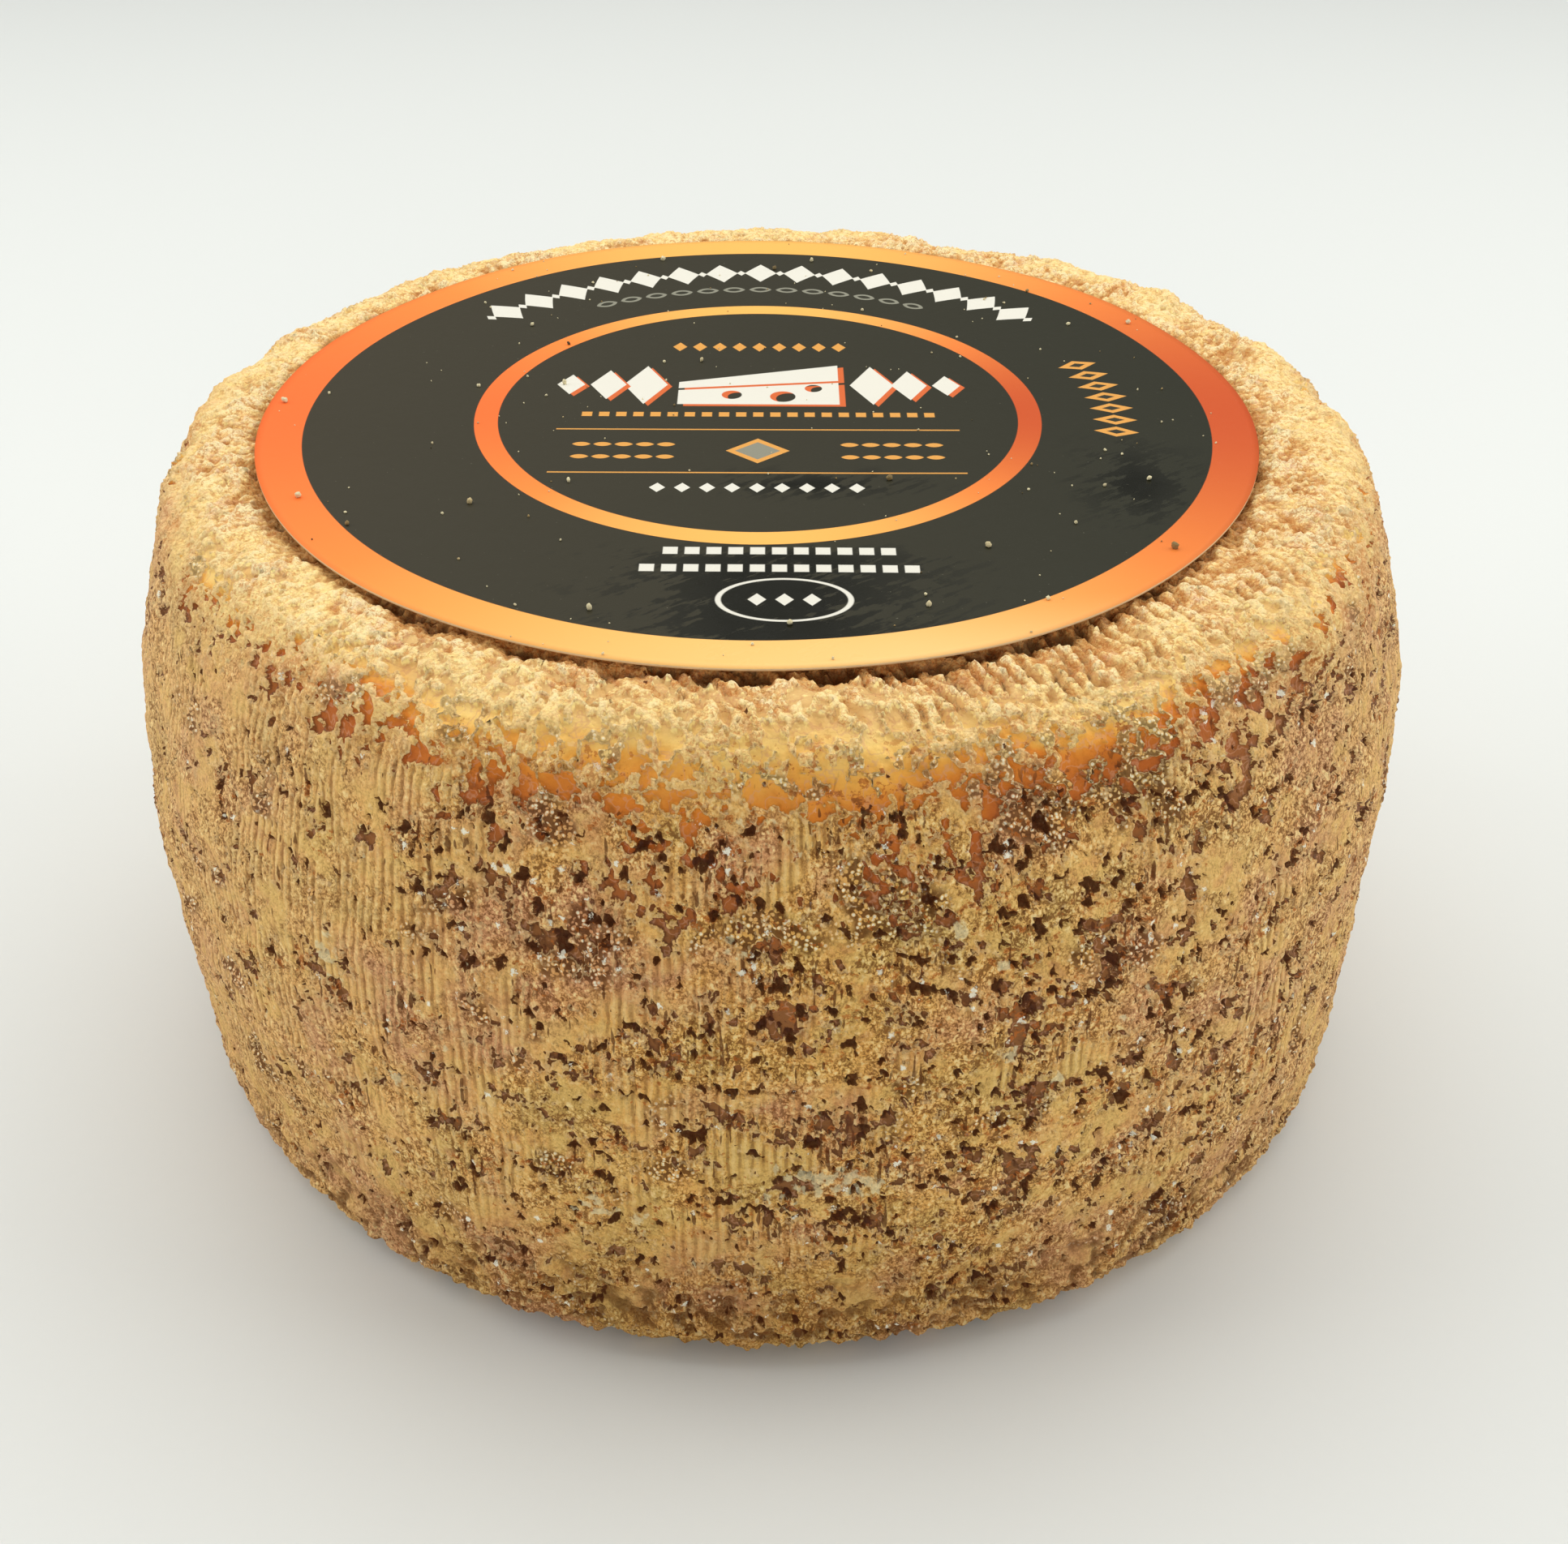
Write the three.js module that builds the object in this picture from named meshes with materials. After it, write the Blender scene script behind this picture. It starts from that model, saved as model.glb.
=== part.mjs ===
// A whole aged cheese wheel with a round paper label lying on its top face.
// Millimetres, +Z up. The origin is the middle of the flat base, where the wheel stands.

import * as THREE from 'three';

// The wheel's barrel-shaped body
const WHEEL_HEIGHT = 98;
const BULGE_RADIUS = 95;
const BULGE_HEIGHT = 48;
const BASE_DRAW_IN = 2.4;
const TOP_DRAW_IN = 9.5;
const BASE_EDGE_ROUND = 7;
const SHOULDER_ROUND = 9;

// The hand-pressed side is a little out of round, in slow waves round the wheel
const SIDE_WAVES = [
  { lobes: 2, height: 0.35, turn: 0.6 },
  { lobes: 3, height: 0.45, turn: 2.1 },
  { lobes: 5, height: 0.25, turn: 4.0 },
];

// The paper label
const LABEL_MARGIN = 7.2;
const LABEL_THICKNESS = 0.3;
const LABEL_GAP = 0.3;
const LABEL_OFFSET_X = -2;
const LABEL_OFFSET_Y = 0;

// How finely the round shapes are divided
const TURN_STEPS = 80;
const SIDE_STEPS = 10;
const EDGE_STEPS = 5;
const FACE_STEPS = 2;
const SETTLE_STEPS = 12;

const RIND_MATERIAL = new THREE.MeshStandardMaterial({ color: 0xc49e62, roughness: 0.85, metalness: 0 });
const LABEL_MATERIAL = new THREE.MeshStandardMaterial({ color: 0x4a4a40, roughness: 0.45, metalness: 0 });

/** Radius of the barrel side at a height, before its edges are rounded. */
function sideRadius(z) {
  const above = z > BULGE_HEIGHT;
  const drawIn = above ? TOP_DRAW_IN : BASE_DRAW_IN;
  const reach = above ? WHEEL_HEIGHT - BULGE_HEIGHT : BULGE_HEIGHT;
  const t = (z - BULGE_HEIGHT) / reach;
  return BULGE_RADIUS - drawIn * t * t;
}

/** Angle by which the side faces up (above zero) or down (below zero) at a height. */
function sideTilt(z) {
  const above = z > BULGE_HEIGHT;
  const drawIn = above ? TOP_DRAW_IN : BASE_DRAW_IN;
  const reach = above ? WHEEL_HEIGHT - BULGE_HEIGHT : BULGE_HEIGHT;
  return Math.atan((2 * drawIn * (z - BULGE_HEIGHT)) / (reach * reach));
}

/** Rounded edge that runs smoothly out of the side: its arc's centre and its angle there. */
function edgeRound(centreHeight, arcRadius) {
  let angle = 0;
  for (let i = 0; i < SETTLE_STEPS; i += 1) {
    angle = sideTilt(centreHeight + arcRadius * Math.sin(angle));
  }
  const meetHeight = centreHeight + arcRadius * Math.sin(angle);
  const centreRadius = sideRadius(meetHeight) - arcRadius * Math.cos(angle);
  return { centreRadius, centreHeight, arcRadius, angle, meetHeight };
}

const SHOULDER = edgeRound(WHEEL_HEIGHT - SHOULDER_ROUND, SHOULDER_ROUND);
const BASE_EDGE = edgeRound(BASE_EDGE_ROUND, BASE_EDGE_ROUND);

/** Points of an edge's arc from one angle to another, both ends included. */
function arcPoints(edge, fromAngle, toAngle) {
  const points = [];
  for (let i = 0; i <= EDGE_STEPS; i += 1) {
    const angle = fromAngle + (i / EDGE_STEPS) * (toAngle - fromAngle);
    const radius = edge.centreRadius + edge.arcRadius * Math.cos(angle);
    points.push(new THREE.Vector2(radius, edge.centreHeight + edge.arcRadius * Math.sin(angle)));
  }
  return points;
}

/** Points on a flat face from one radius to another, ends left out. */
function facePoints(fromRadius, toRadius, height) {
  const points = [];
  for (let i = 1; i < FACE_STEPS; i += 1) {
    const radius = fromRadius + ((toRadius - fromRadius) * i) / FACE_STEPS;
    points.push(new THREE.Vector2(radius, height));
  }
  return points;
}

/** Half outline of the wheel, from the axis at the base to the axis at the top. */
function wheelOutline() {
  const points = [new THREE.Vector2(0, 0)];
  points.push(...facePoints(0, BASE_EDGE.centreRadius, 0));
  points.push(...arcPoints(BASE_EDGE, -Math.PI / 2, BASE_EDGE.angle));
  const sideLength = SHOULDER.meetHeight - BASE_EDGE.meetHeight;
  for (let i = 1; i < SIDE_STEPS; i += 1) {
    const z = BASE_EDGE.meetHeight + (sideLength * i) / SIDE_STEPS;
    points.push(new THREE.Vector2(sideRadius(z), z));
  }
  points.push(...arcPoints(SHOULDER, SHOULDER.angle, Math.PI / 2));
  points.push(...facePoints(SHOULDER.centreRadius, 0, WHEEL_HEIGHT));
  points.push(new THREE.Vector2(0, WHEEL_HEIGHT));
  return points;
}

/** How far the side stands out of round at an angle round the wheel. */
function sideWave(angle) {
  let wave = 0;
  for (const { lobes, height, turn } of SIDE_WAVES) {
    wave += height * Math.cos(lobes * angle + turn);
  }
  return wave;
}

/** Moves the wheel's side in and out by its slow waves; the flat faces keep their level. */
function pressOutOfRound(geometry) {
  const position = geometry.attributes.position;
  for (let i = 0; i < position.count; i += 1) {
    const x = position.getX(i);
    const y = position.getY(i);
    const radius = Math.hypot(x, y);
    const share = Math.min(1, radius / BULGE_RADIUS);
    const scale = 1 + (sideWave(Math.atan2(y, x)) * share * share) / BULGE_RADIUS;
    position.setXY(i, x * scale, y * scale);
  }
  geometry.computeVertexNormals();
}

/** A closed turned solid about the Z axis. */
function turned(outline) {
  const geometry = new THREE.LatheGeometry(outline, TURN_STEPS);
  geometry.rotateX(Math.PI / 2);
  return geometry;
}

/** The whole cheese wheel, one solid. */
function makeWheel() {
  const geometry = turned(wheelOutline());
  pressOutOfRound(geometry);
  const wheel = new THREE.Mesh(geometry, RIND_MATERIAL);
  wheel.name = 'cheese_wheel';
  return wheel;
}

/** The round paper label, a thin disc just above the top face. */
function makeLabel() {
  const radius = SHOULDER.centreRadius - LABEL_MARGIN;
  const outline = [
    new THREE.Vector2(0, 0),
    new THREE.Vector2(radius, 0),
    new THREE.Vector2(radius, LABEL_THICKNESS),
    new THREE.Vector2(0, LABEL_THICKNESS),
  ];
  const label = new THREE.Mesh(turned(outline), LABEL_MATERIAL);
  label.name = 'label';
  label.position.set(LABEL_OFFSET_X, LABEL_OFFSET_Y, WHEEL_HEIGHT + LABEL_GAP);
  return label;
}

const cheese = new THREE.Group();
cheese.add(makeWheel());
cheese.add(makeLabel());

export default cheese;
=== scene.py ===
"""Looks of a whole aged cheese wheel: its crumbly rind, its round paper label and loose crumbs.

Sizes are in millimetres inside the classes and become metres when a mesh is made. The wheel
stands on its base at the origin, +Z up, and is looked at from -Y.
"""

from __future__ import annotations

import logging
import math
from dataclasses import dataclass, field
from enum import Enum
from typing import Callable, Mapping, Sequence, Union

import bmesh
import bpy
import numpy as np
from mathutils import Euler, Matrix, Vector, noise


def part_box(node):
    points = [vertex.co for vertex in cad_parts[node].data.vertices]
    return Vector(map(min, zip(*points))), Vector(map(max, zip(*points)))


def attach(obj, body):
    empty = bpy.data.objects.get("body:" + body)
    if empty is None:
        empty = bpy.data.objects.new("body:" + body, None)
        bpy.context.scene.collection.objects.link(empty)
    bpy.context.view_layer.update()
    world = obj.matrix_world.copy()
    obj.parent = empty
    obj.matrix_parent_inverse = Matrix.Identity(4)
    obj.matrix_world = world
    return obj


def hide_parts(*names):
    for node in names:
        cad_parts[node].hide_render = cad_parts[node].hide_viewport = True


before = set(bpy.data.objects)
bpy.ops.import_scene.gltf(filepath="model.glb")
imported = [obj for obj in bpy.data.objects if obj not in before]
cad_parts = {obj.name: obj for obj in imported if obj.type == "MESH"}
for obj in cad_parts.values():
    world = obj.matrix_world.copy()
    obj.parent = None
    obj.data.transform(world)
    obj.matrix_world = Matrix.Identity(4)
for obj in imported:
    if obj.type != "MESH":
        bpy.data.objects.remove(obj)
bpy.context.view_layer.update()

LOG = logging.getLogger("cheese_wheel")
MM = 0.001
FRONT = -math.pi / 2
MOTTLE_STEP = np.array([31.7, 17.3, 53.9])
GRAIN_STEP = np.array([11.1, 47.7, 23.3])

Colour = tuple[float, float, float, float]
Operand = Union["Wire", float]


# ---- Small helpers for numbers and colours ----


def tone(red: float, green: float, blue: float) -> Colour:
    """Turns a colour of 0 to 255 as seen on a screen into the renderer's linear colour.

    Args:
        red: Red, 0 to 255.
        green: Green, 0 to 255.
        blue: Blue, 0 to 255.

    Returns:
        Linear red, green and blue with an alpha of 1.
    """

    def linear(value: float) -> float:
        """One channel, by the screen's own curve."""
        share = value / 255
        return share / 12.92 if share <= 0.04045 else ((share + 0.055) / 1.055) ** 2.4

    return (linear(red), linear(green), linear(blue), 1.0)


def ease(low: float, high: float, values: np.ndarray) -> np.ndarray:
    """Smooth step from 0 at low to 1 at high, for each value."""
    share = np.clip((values - low) / (high - low), 0.0, 1.0)
    return share * share * (3.0 - 2.0 * share)


def hump(middle: float, half_width: float, values: np.ndarray) -> np.ndarray:
    """Smooth hill of height 1 at the middle that fades to either side."""
    return np.exp(-(((values - middle) / half_width) ** 2))


@dataclass(frozen=True)
class Mottle:
    """Uneven random pattern in space, evened out to a mean of 0 and a spread of 1.

    Attributes:
        size: Width of the largest blotches, in millimetres.
        seed: Picks another pattern of the same kind.
        layers: How many finer layers lie in the pattern.
        calm: How much weaker each finer layer is.
        upright: How many times taller than wide the blotches are.
    """

    size: float
    seed: int
    layers: int = 4
    calm: float = 0.8
    upright: float = 1.0

    def at(self, places: np.ndarray) -> np.ndarray:
        """Works out the pattern's value at each place.

        Args:
            places: Points on the wheel, in millimetres.

        Returns:
            One value for each point.
        """
        grid = places / (self.size, self.size, self.size * self.upright)
        grid = grid + MOTTLE_STEP * self.seed
        values = np.fromiter(
            (noise.fractal(place, self.calm, 2.0, self.layers) for place in grid.tolist()),
            float,
            len(grid),
        )
        return (values - values.mean()) / values.std()


@dataclass(frozen=True)
class Grains:
    """Rounded grains packed side by side.

    Attributes:
        size: Spacing of the grains, in millimetres.
        seed: Picks another packing.
    """

    size: float
    seed: int

    def at(self, places: np.ndarray) -> np.ndarray:
        """Works out how high on a grain each place lies.

        Args:
            places: Points on the wheel, in millimetres.

        Returns:
            1 at the middle of a grain, down to 0 between grains, for each point.
        """
        grid = places / self.size + GRAIN_STEP * self.seed
        nearest = (noise.voronoi(place)[0][0] for place in grid.tolist())
        return np.clip(1.0 - (np.fromiter(nearest, float, len(grid)) / 0.75) ** 2, 0.0, 1.0)


# ---- Material bench: shader maths written as Python expressions ----


class Wire:
    """A socket that adds Math nodes when it is used in an expression."""

    def __init__(self, bench: "Bench", socket: bpy.types.NodeSocket) -> None:
        """Wraps one output socket of a bench."""
        self.bench = bench
        self.socket = socket

    def __add__(self, other: Operand) -> "Wire":
        """self + other."""
        return self.bench.math("ADD", self, other)

    def __radd__(self, other: Operand) -> "Wire":
        """other + self."""
        return self.bench.math("ADD", other, self)

    def __sub__(self, other: Operand) -> "Wire":
        """self - other."""
        return self.bench.math("SUBTRACT", self, other)

    def __rsub__(self, other: Operand) -> "Wire":
        """other - self."""
        return self.bench.math("SUBTRACT", other, self)

    def __mul__(self, other: Operand) -> "Wire":
        """self * other."""
        return self.bench.math("MULTIPLY", self, other)

    def __rmul__(self, other: Operand) -> "Wire":
        """other * self."""
        return self.bench.math("MULTIPLY", other, self)

    def __truediv__(self, other: Operand) -> "Wire":
        """self / other."""
        return self.bench.math("DIVIDE", self, other)

    def __rtruediv__(self, other: Operand) -> "Wire":
        """other / self."""
        return self.bench.math("DIVIDE", other, self)

    def __pow__(self, other: Operand) -> "Wire":
        """self to the power of other."""
        return self.bench.math("POWER", self, other)

    def __abs__(self) -> "Wire":
        """Size of self without its sign."""
        return self.bench.math("ABSOLUTE", self)

    def clamp(self) -> "Wire":
        """Self, held between 0 and 1."""
        return self.bench.node("ShaderNodeClamp", {}, {"Value": self})

    def ease(self, low: float, high: float) -> "Wire":
        """Makes a smooth step.

        Args:
            low: Value at which the step starts.
            high: Value at which it ends.

        Returns:
            0 below low, 1 above high, smooth between.
        """
        inputs = {"Value": self, "From Min": low, "From Max": high}
        settings = {"interpolation_type": "SMOOTHSTEP"}
        return self.bench.node("ShaderNodeMapRange", settings, inputs)


class Bench:
    """A material's node tree, with short ways to add nodes to it."""

    def __init__(self, name: str) -> None:
        """Starts an empty material.

        Args:
            name: The material's name.
        """
        self.material = bpy.data.materials.new(name)
        self.material.use_nodes = True
        self.tree = self.material.node_tree
        self.tree.nodes.clear()

    def node(
        self,
        kind: str,
        settings: Mapping[str, object],
        inputs: Mapping[Union[str, int], object],
        output: Union[str, int] = 0,
    ) -> Wire:
        """Adds a node, sets it up, and fills its sockets.

        Args:
            kind: Blender's name for the node type.
            settings: The node's own properties; "stops" fills a colour ramp.
            inputs: Socket name or number to a value, colour or wire.
            output: Name or number of the output socket wanted.

        Returns:
            That output socket.
        """
        made = self.tree.nodes.new(kind)
        for key, value in settings.items():
            if key == "stops":
                self._fill_ramp(made.color_ramp, value)
            else:
                setattr(made, key, value)
        for key, value in inputs.items():
            if isinstance(value, Wire):
                self.tree.links.new(value.socket, made.inputs[key])
            else:
                made.inputs[key].default_value = value
        return Wire(self, made.outputs[output])

    @staticmethod
    def _fill_ramp(ramp: bpy.types.ColorRamp, stops: Sequence[tuple[float, Colour]]) -> None:
        """Puts these stops on a colour ramp, in place of its own two."""
        while len(ramp.elements) < len(stops):
            ramp.elements.new(1.0)
        for element, (position, colour) in zip(ramp.elements, stops):
            element.position = position
            element.color = colour

    def math(self, operation: str, first: Operand, second: Operand = 0.0) -> Wire:
        """Adds one Math node."""
        return self.node("ShaderNodeMath", {"operation": operation}, {0: first, 1: second})

    def largest(self, first: Operand, *others: Operand) -> Operand:
        """Largest of several values."""
        for other in others:
            first = self.math("MAXIMUM", first, other)
        return first

    def blend(self, share: Operand, under: object, over: object, how: str = "MIX") -> Wire:
        """Mixes two colours, by a share of the second."""
        settings = {"data_type": "RGBA", "blend_type": how}
        return self.node("ShaderNodeMix", settings, {0: share, 6: under, 7: over}, 2)

    def ramp(self, value: Operand, stops: Sequence[tuple[float, Colour]]) -> Wire:
        """Turns a value of 0 to 1 into a colour."""
        return self.node("ShaderNodeValToRGB", {"stops": stops}, {"Fac": value})

    def reading(self, name: str) -> Wire:
        """Value that the mesh carries under this name."""
        return self.node("ShaderNodeAttribute", {"attribute_name": name}, {}, "Fac")

    def place(self) -> Wire:
        """Position on the piece, in metres."""
        return self.node("ShaderNodeTexCoord", {}, {}, "Object")

    def split(self, vector: Wire) -> tuple[Wire, Wire, Wire]:
        """Takes a vector apart.

        Args:
            vector: Any vector.

        Returns:
            Its X, Y and Z.
        """
        made = self.node("ShaderNodeSeparateXYZ", {}, {0: vector})
        outputs = made.socket.node.outputs
        return Wire(self, outputs[0]), Wire(self, outputs[1]), Wire(self, outputs[2])

    def moved(self, scale: Sequence[float], shift: float) -> Wire:
        """Position on the piece, stretched and shifted, for a texture to read."""
        inputs = {0: self.place(), 1: tuple(scale), 2: (shift, shift * 0.7, shift * 1.3)}
        return self.node("ShaderNodeVectorMath", {"operation": "MULTIPLY_ADD"}, inputs)

    def clouds(self, size: float, seed: float, detail: float = 2.0, upright: float = 1.0) -> Wire:
        """Soft random values about 0, from -1 to 1.

        Args:
            size: Width of a cloud, in millimetres.
            seed: Picks another pattern of the same kind.
            detail: How many finer layers lie in it.
            upright: How many times taller than wide a cloud is.

        Returns:
            The value at each place.
        """
        reach = 1.0 / (size * MM)
        inputs = {
            "Vector": self.moved((reach, reach, reach / upright), seed),
            "Scale": 1.0,
            "Detail": detail,
            "Roughness": 0.6,
        }
        value = self.node("ShaderNodeTexNoise", {"noise_dimensions": "3D"}, inputs, 0)
        return value * 2.0 - 1.0

    def cells(self, size: float, seed: float, output: str = "Distance") -> Wire:
        """Packs many grains side by side.

        Args:
            size: Spacing of the grains, in millimetres.
            seed: Picks another packing.
            output: Name of the output socket wanted.

        Returns:
            Distance to the nearest grain's middle, or that grain's own colour.
        """
        reach = 1.0 / (size * MM)
        inputs = {"Vector": self.moved((reach, reach, reach), seed), "Scale": 1.0}
        return self.node("ShaderNodeTexVoronoi", {"voronoi_dimensions": "3D"}, inputs, output)

    def bump(self, height: Wire, depth: float) -> Wire:
        """Normal bent by a height of 0 to 1 that stands this many millimetres deep."""
        inputs = {"Height": height, "Distance": depth * MM, "Strength": 1.0}
        return self.node("ShaderNodeBump", {}, inputs, "Normal")

    def finish(self, inputs: Mapping[str, object]) -> bpy.types.Material:
        """Closes the material with one Principled surface.

        Args:
            inputs: Principled socket name to a value, colour or wire.

        Returns:
            The material.
        """
        surface = self.node("ShaderNodeBsdfPrincipled", {}, inputs)
        output = self.tree.nodes.new("ShaderNodeOutputMaterial")
        self.tree.links.new(surface.socket, output.inputs["Surface"])
        return self.material


# ---- Meshes ----


def make_piece(
    name: str,
    points: np.ndarray,
    faces: Sequence[np.ndarray],
    smooth: bool = True,
) -> bpy.types.Object:
    """Makes a mesh object.

    Args:
        name: The piece's name.
        points: Points in millimetres, one row each.
        faces: Arrays of faces, each array with one number of corners.
        smooth: Whether the faces are shaded as one smooth surface.

    Returns:
        The new object, linked to the scene.
    """
    mesh = bpy.data.meshes.new(name)
    mesh.vertices.add(len(points))
    mesh.vertices.foreach_set("co", (points * MM).astype(np.float32).ravel())
    corners = np.concatenate([group.ravel() for group in faces]).astype(np.int32)
    sizes = np.concatenate([np.full(len(group), group.shape[1]) for group in faces])
    starts = np.concatenate([[0], np.cumsum(sizes)[:-1]])
    mesh.loops.add(len(corners))
    mesh.loops.foreach_set("vertex_index", corners)
    mesh.polygons.add(len(sizes))
    mesh.polygons.foreach_set("loop_start", starts.astype(np.int32))
    mesh.polygons.foreach_set("loop_total", sizes.astype(np.int32))
    mesh.polygons.foreach_set("use_smooth", np.full(len(sizes), smooth))
    mesh.update(calc_edges=True)
    mesh.validate()
    piece = bpy.data.objects.new(name, mesh)
    bpy.context.scene.collection.objects.link(piece)
    return piece


def carry(piece: bpy.types.Object, readings: Mapping[str, np.ndarray]) -> None:
    """Stores values for each point of a piece, for its material to read."""
    for name, values in readings.items():
        layer = piece.data.attributes.new(name, "FLOAT", "POINT")
        layer.data.foreach_set("value", values.astype(np.float32))


def lay_map(piece: bpy.types.Object, map_points: np.ndarray) -> None:
    """Gives a piece its flat map, one point for each face corner, as given."""
    layer = piece.data.uv_layers.new(name="OFBake")
    layer.data.foreach_set("uv", map_points.astype(np.float32).ravel())


# ---- The wheel's shape ----


@dataclass(frozen=True)
class EdgeRound:
    """A rounded edge that runs smoothly out of the side."""

    centre_radius: float
    centre_height: float
    arc: float
    tilt: float

    @property
    def meet_height(self) -> float:
        """Height at which the arc meets the side."""
        return self.centre_height + self.arc * math.sin(self.tilt)


@dataclass(frozen=True)
class WheelShape:
    """The pressed barrel shape, the same as the solid model's."""

    height: float
    bulge_radius: float
    bulge_height: float = 48.0
    base_draw_in: float = 2.4
    top_draw_in: float = 9.5
    base_edge_round: float = 7.0
    shoulder_round: float = 9.0
    edge_tries: int = 12
    waves: tuple[tuple[int, float, float], ...] = ((2, 0.35, 0.6), (3, 0.45, 2.1), (5, 0.25, 4.0))

    @classmethod
    def from_frame(cls, node: str) -> "WheelShape":
        """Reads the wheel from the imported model.

        Args:
            node: The wheel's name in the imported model.

        Returns:
            The shape, with that node's height and width.
        """
        low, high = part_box(node)
        spread = (high[0] - low[0]) + (high[1] - low[1])
        return cls(height=high[2] / MM, bulge_radius=spread / 4 / MM)

    def side(self, height: float) -> tuple[float, float]:
        """Works out the barrel side at a height.

        Args:
            height: Height above the base.

        Returns:
            Radius, and the angle by which the surface faces up.
        """
        above = height > self.bulge_height
        draw_in = self.top_draw_in if above else self.base_draw_in
        reach = self.height - self.bulge_height if above else self.bulge_height
        share = (height - self.bulge_height) / reach
        return self.bulge_radius - draw_in * share**2, math.atan(2 * draw_in * share / reach)

    def edge(self, centre_height: float, arc: float) -> EdgeRound:
        """Fits a rounded edge to the side.

        Args:
            centre_height: Height of the arc's centre.
            arc: Radius of the arc.

        Returns:
            The edge, placed so that it meets the side without a corner.
        """
        tilt = 0.0
        for _ in range(self.edge_tries):
            tilt = self.side(centre_height + arc * math.sin(tilt))[1]
        meet = self.side(centre_height + arc * math.sin(tilt))[0]
        return EdgeRound(meet - arc * math.cos(tilt), centre_height, arc, tilt)

    @property
    def shoulder(self) -> EdgeRound:
        """The rounded edge round the top face."""
        return self.edge(self.height - self.shoulder_round, self.shoulder_round)

    @property
    def base_edge(self) -> EdgeRound:
        """The rounded edge round the base."""
        return self.edge(self.base_edge_round, self.base_edge_round)

    def wave(self, angle: np.ndarray) -> np.ndarray:
        """How far the side stands out of round at each angle."""
        return sum(tall * np.cos(lobes * angle + turn) for lobes, tall, turn in self.waves)


@dataclass(frozen=True)
class Ring:
    """One ring of points round the wheel.

    Attributes:
        radius: Distance from the axis.
        height: Height above the base.
        tilt: Angle by which the surface faces up, a quarter turn on the top face.
        reach: Distance down the surface from the edge of the top face, below 0 on that face.
        columns: How many points lie round the ring.
        sheet: Which part of the flat map the ring lies in: 0 top, 1 side, 2 base.
    """

    radius: float
    height: float
    tilt: float
    reach: float
    columns: int
    sheet: int


@dataclass(frozen=True)
class Spot:
    """A place on the rind where something shows more or less than elsewhere.

    Attributes:
        turn: Degrees to the right of the front.
        height: Height above the base, in millimetres.
        wide: Half width round the wheel, in millimetres.
        tall: Half height, in millimetres.
        weight: How strongly it counts.
    """

    turn: float
    height: float
    wide: float
    tall: float
    weight: float = 1.0


# ---- The rind ----


@dataclass
class RindSurface:
    """The points of the rind before any relief, with where each one lies.

    Attributes:
        places: Points, in millimetres.
        normals: Directions in which the surface faces.
        reach: Distance down the surface from the edge of the top face.
        angle: Angle round the wheel, anticlockwise from the right.
        radius: Distance from the axis.
        height: Height above the base.
    """

    places: np.ndarray
    normals: np.ndarray
    reach: np.ndarray
    angle: np.ndarray
    radius: np.ndarray
    height: np.ndarray

    @property
    def turn(self) -> np.ndarray:
        """Angle to the right of the front."""
        return np.mod(self.angle - FRONT + math.pi, 2 * math.pi) - math.pi

    @property
    def on_top(self) -> np.ndarray:
        """1 on the top face, fading out over the shoulder."""
        return 1 - ease(1.0, 9.0, self.reach)

    @property
    def on_side(self) -> np.ndarray:
        """1 on the upright side, 0 on the shoulder and the base."""
        return ease(8.0, 15.0, self.reach) * (1 - ease(92.0, 99.0, self.reach))

    @property
    def on_foot(self) -> np.ndarray:
        """1 round the foot and below it."""
        return ease(80.0, 93.0, self.reach)

    @property
    def on_base(self) -> np.ndarray:
        """1 on the flat base."""
        return ease(96.0, 101.0, self.reach)

    def near(self, spots: Sequence[Spot], bulge_radius: float) -> np.ndarray:
        """Adds up chosen spots, each a soft oval.

        Args:
            spots: The spots to add up.
            bulge_radius: The wheel's radius where it is widest.

        Returns:
            Sum of what the spots weigh at each point.
        """
        total = np.zeros(len(self.reach))
        for spot in spots:
            turn = FRONT + math.radians(spot.turn)
            across = (np.mod(self.angle - turn + math.pi, 2 * math.pi) - math.pi) * bulge_radius
            up = self.height - spot.height
            total += spot.weight * np.exp(-((across / spot.wide) ** 2) - (up / spot.tall) ** 2)
        return total


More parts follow.
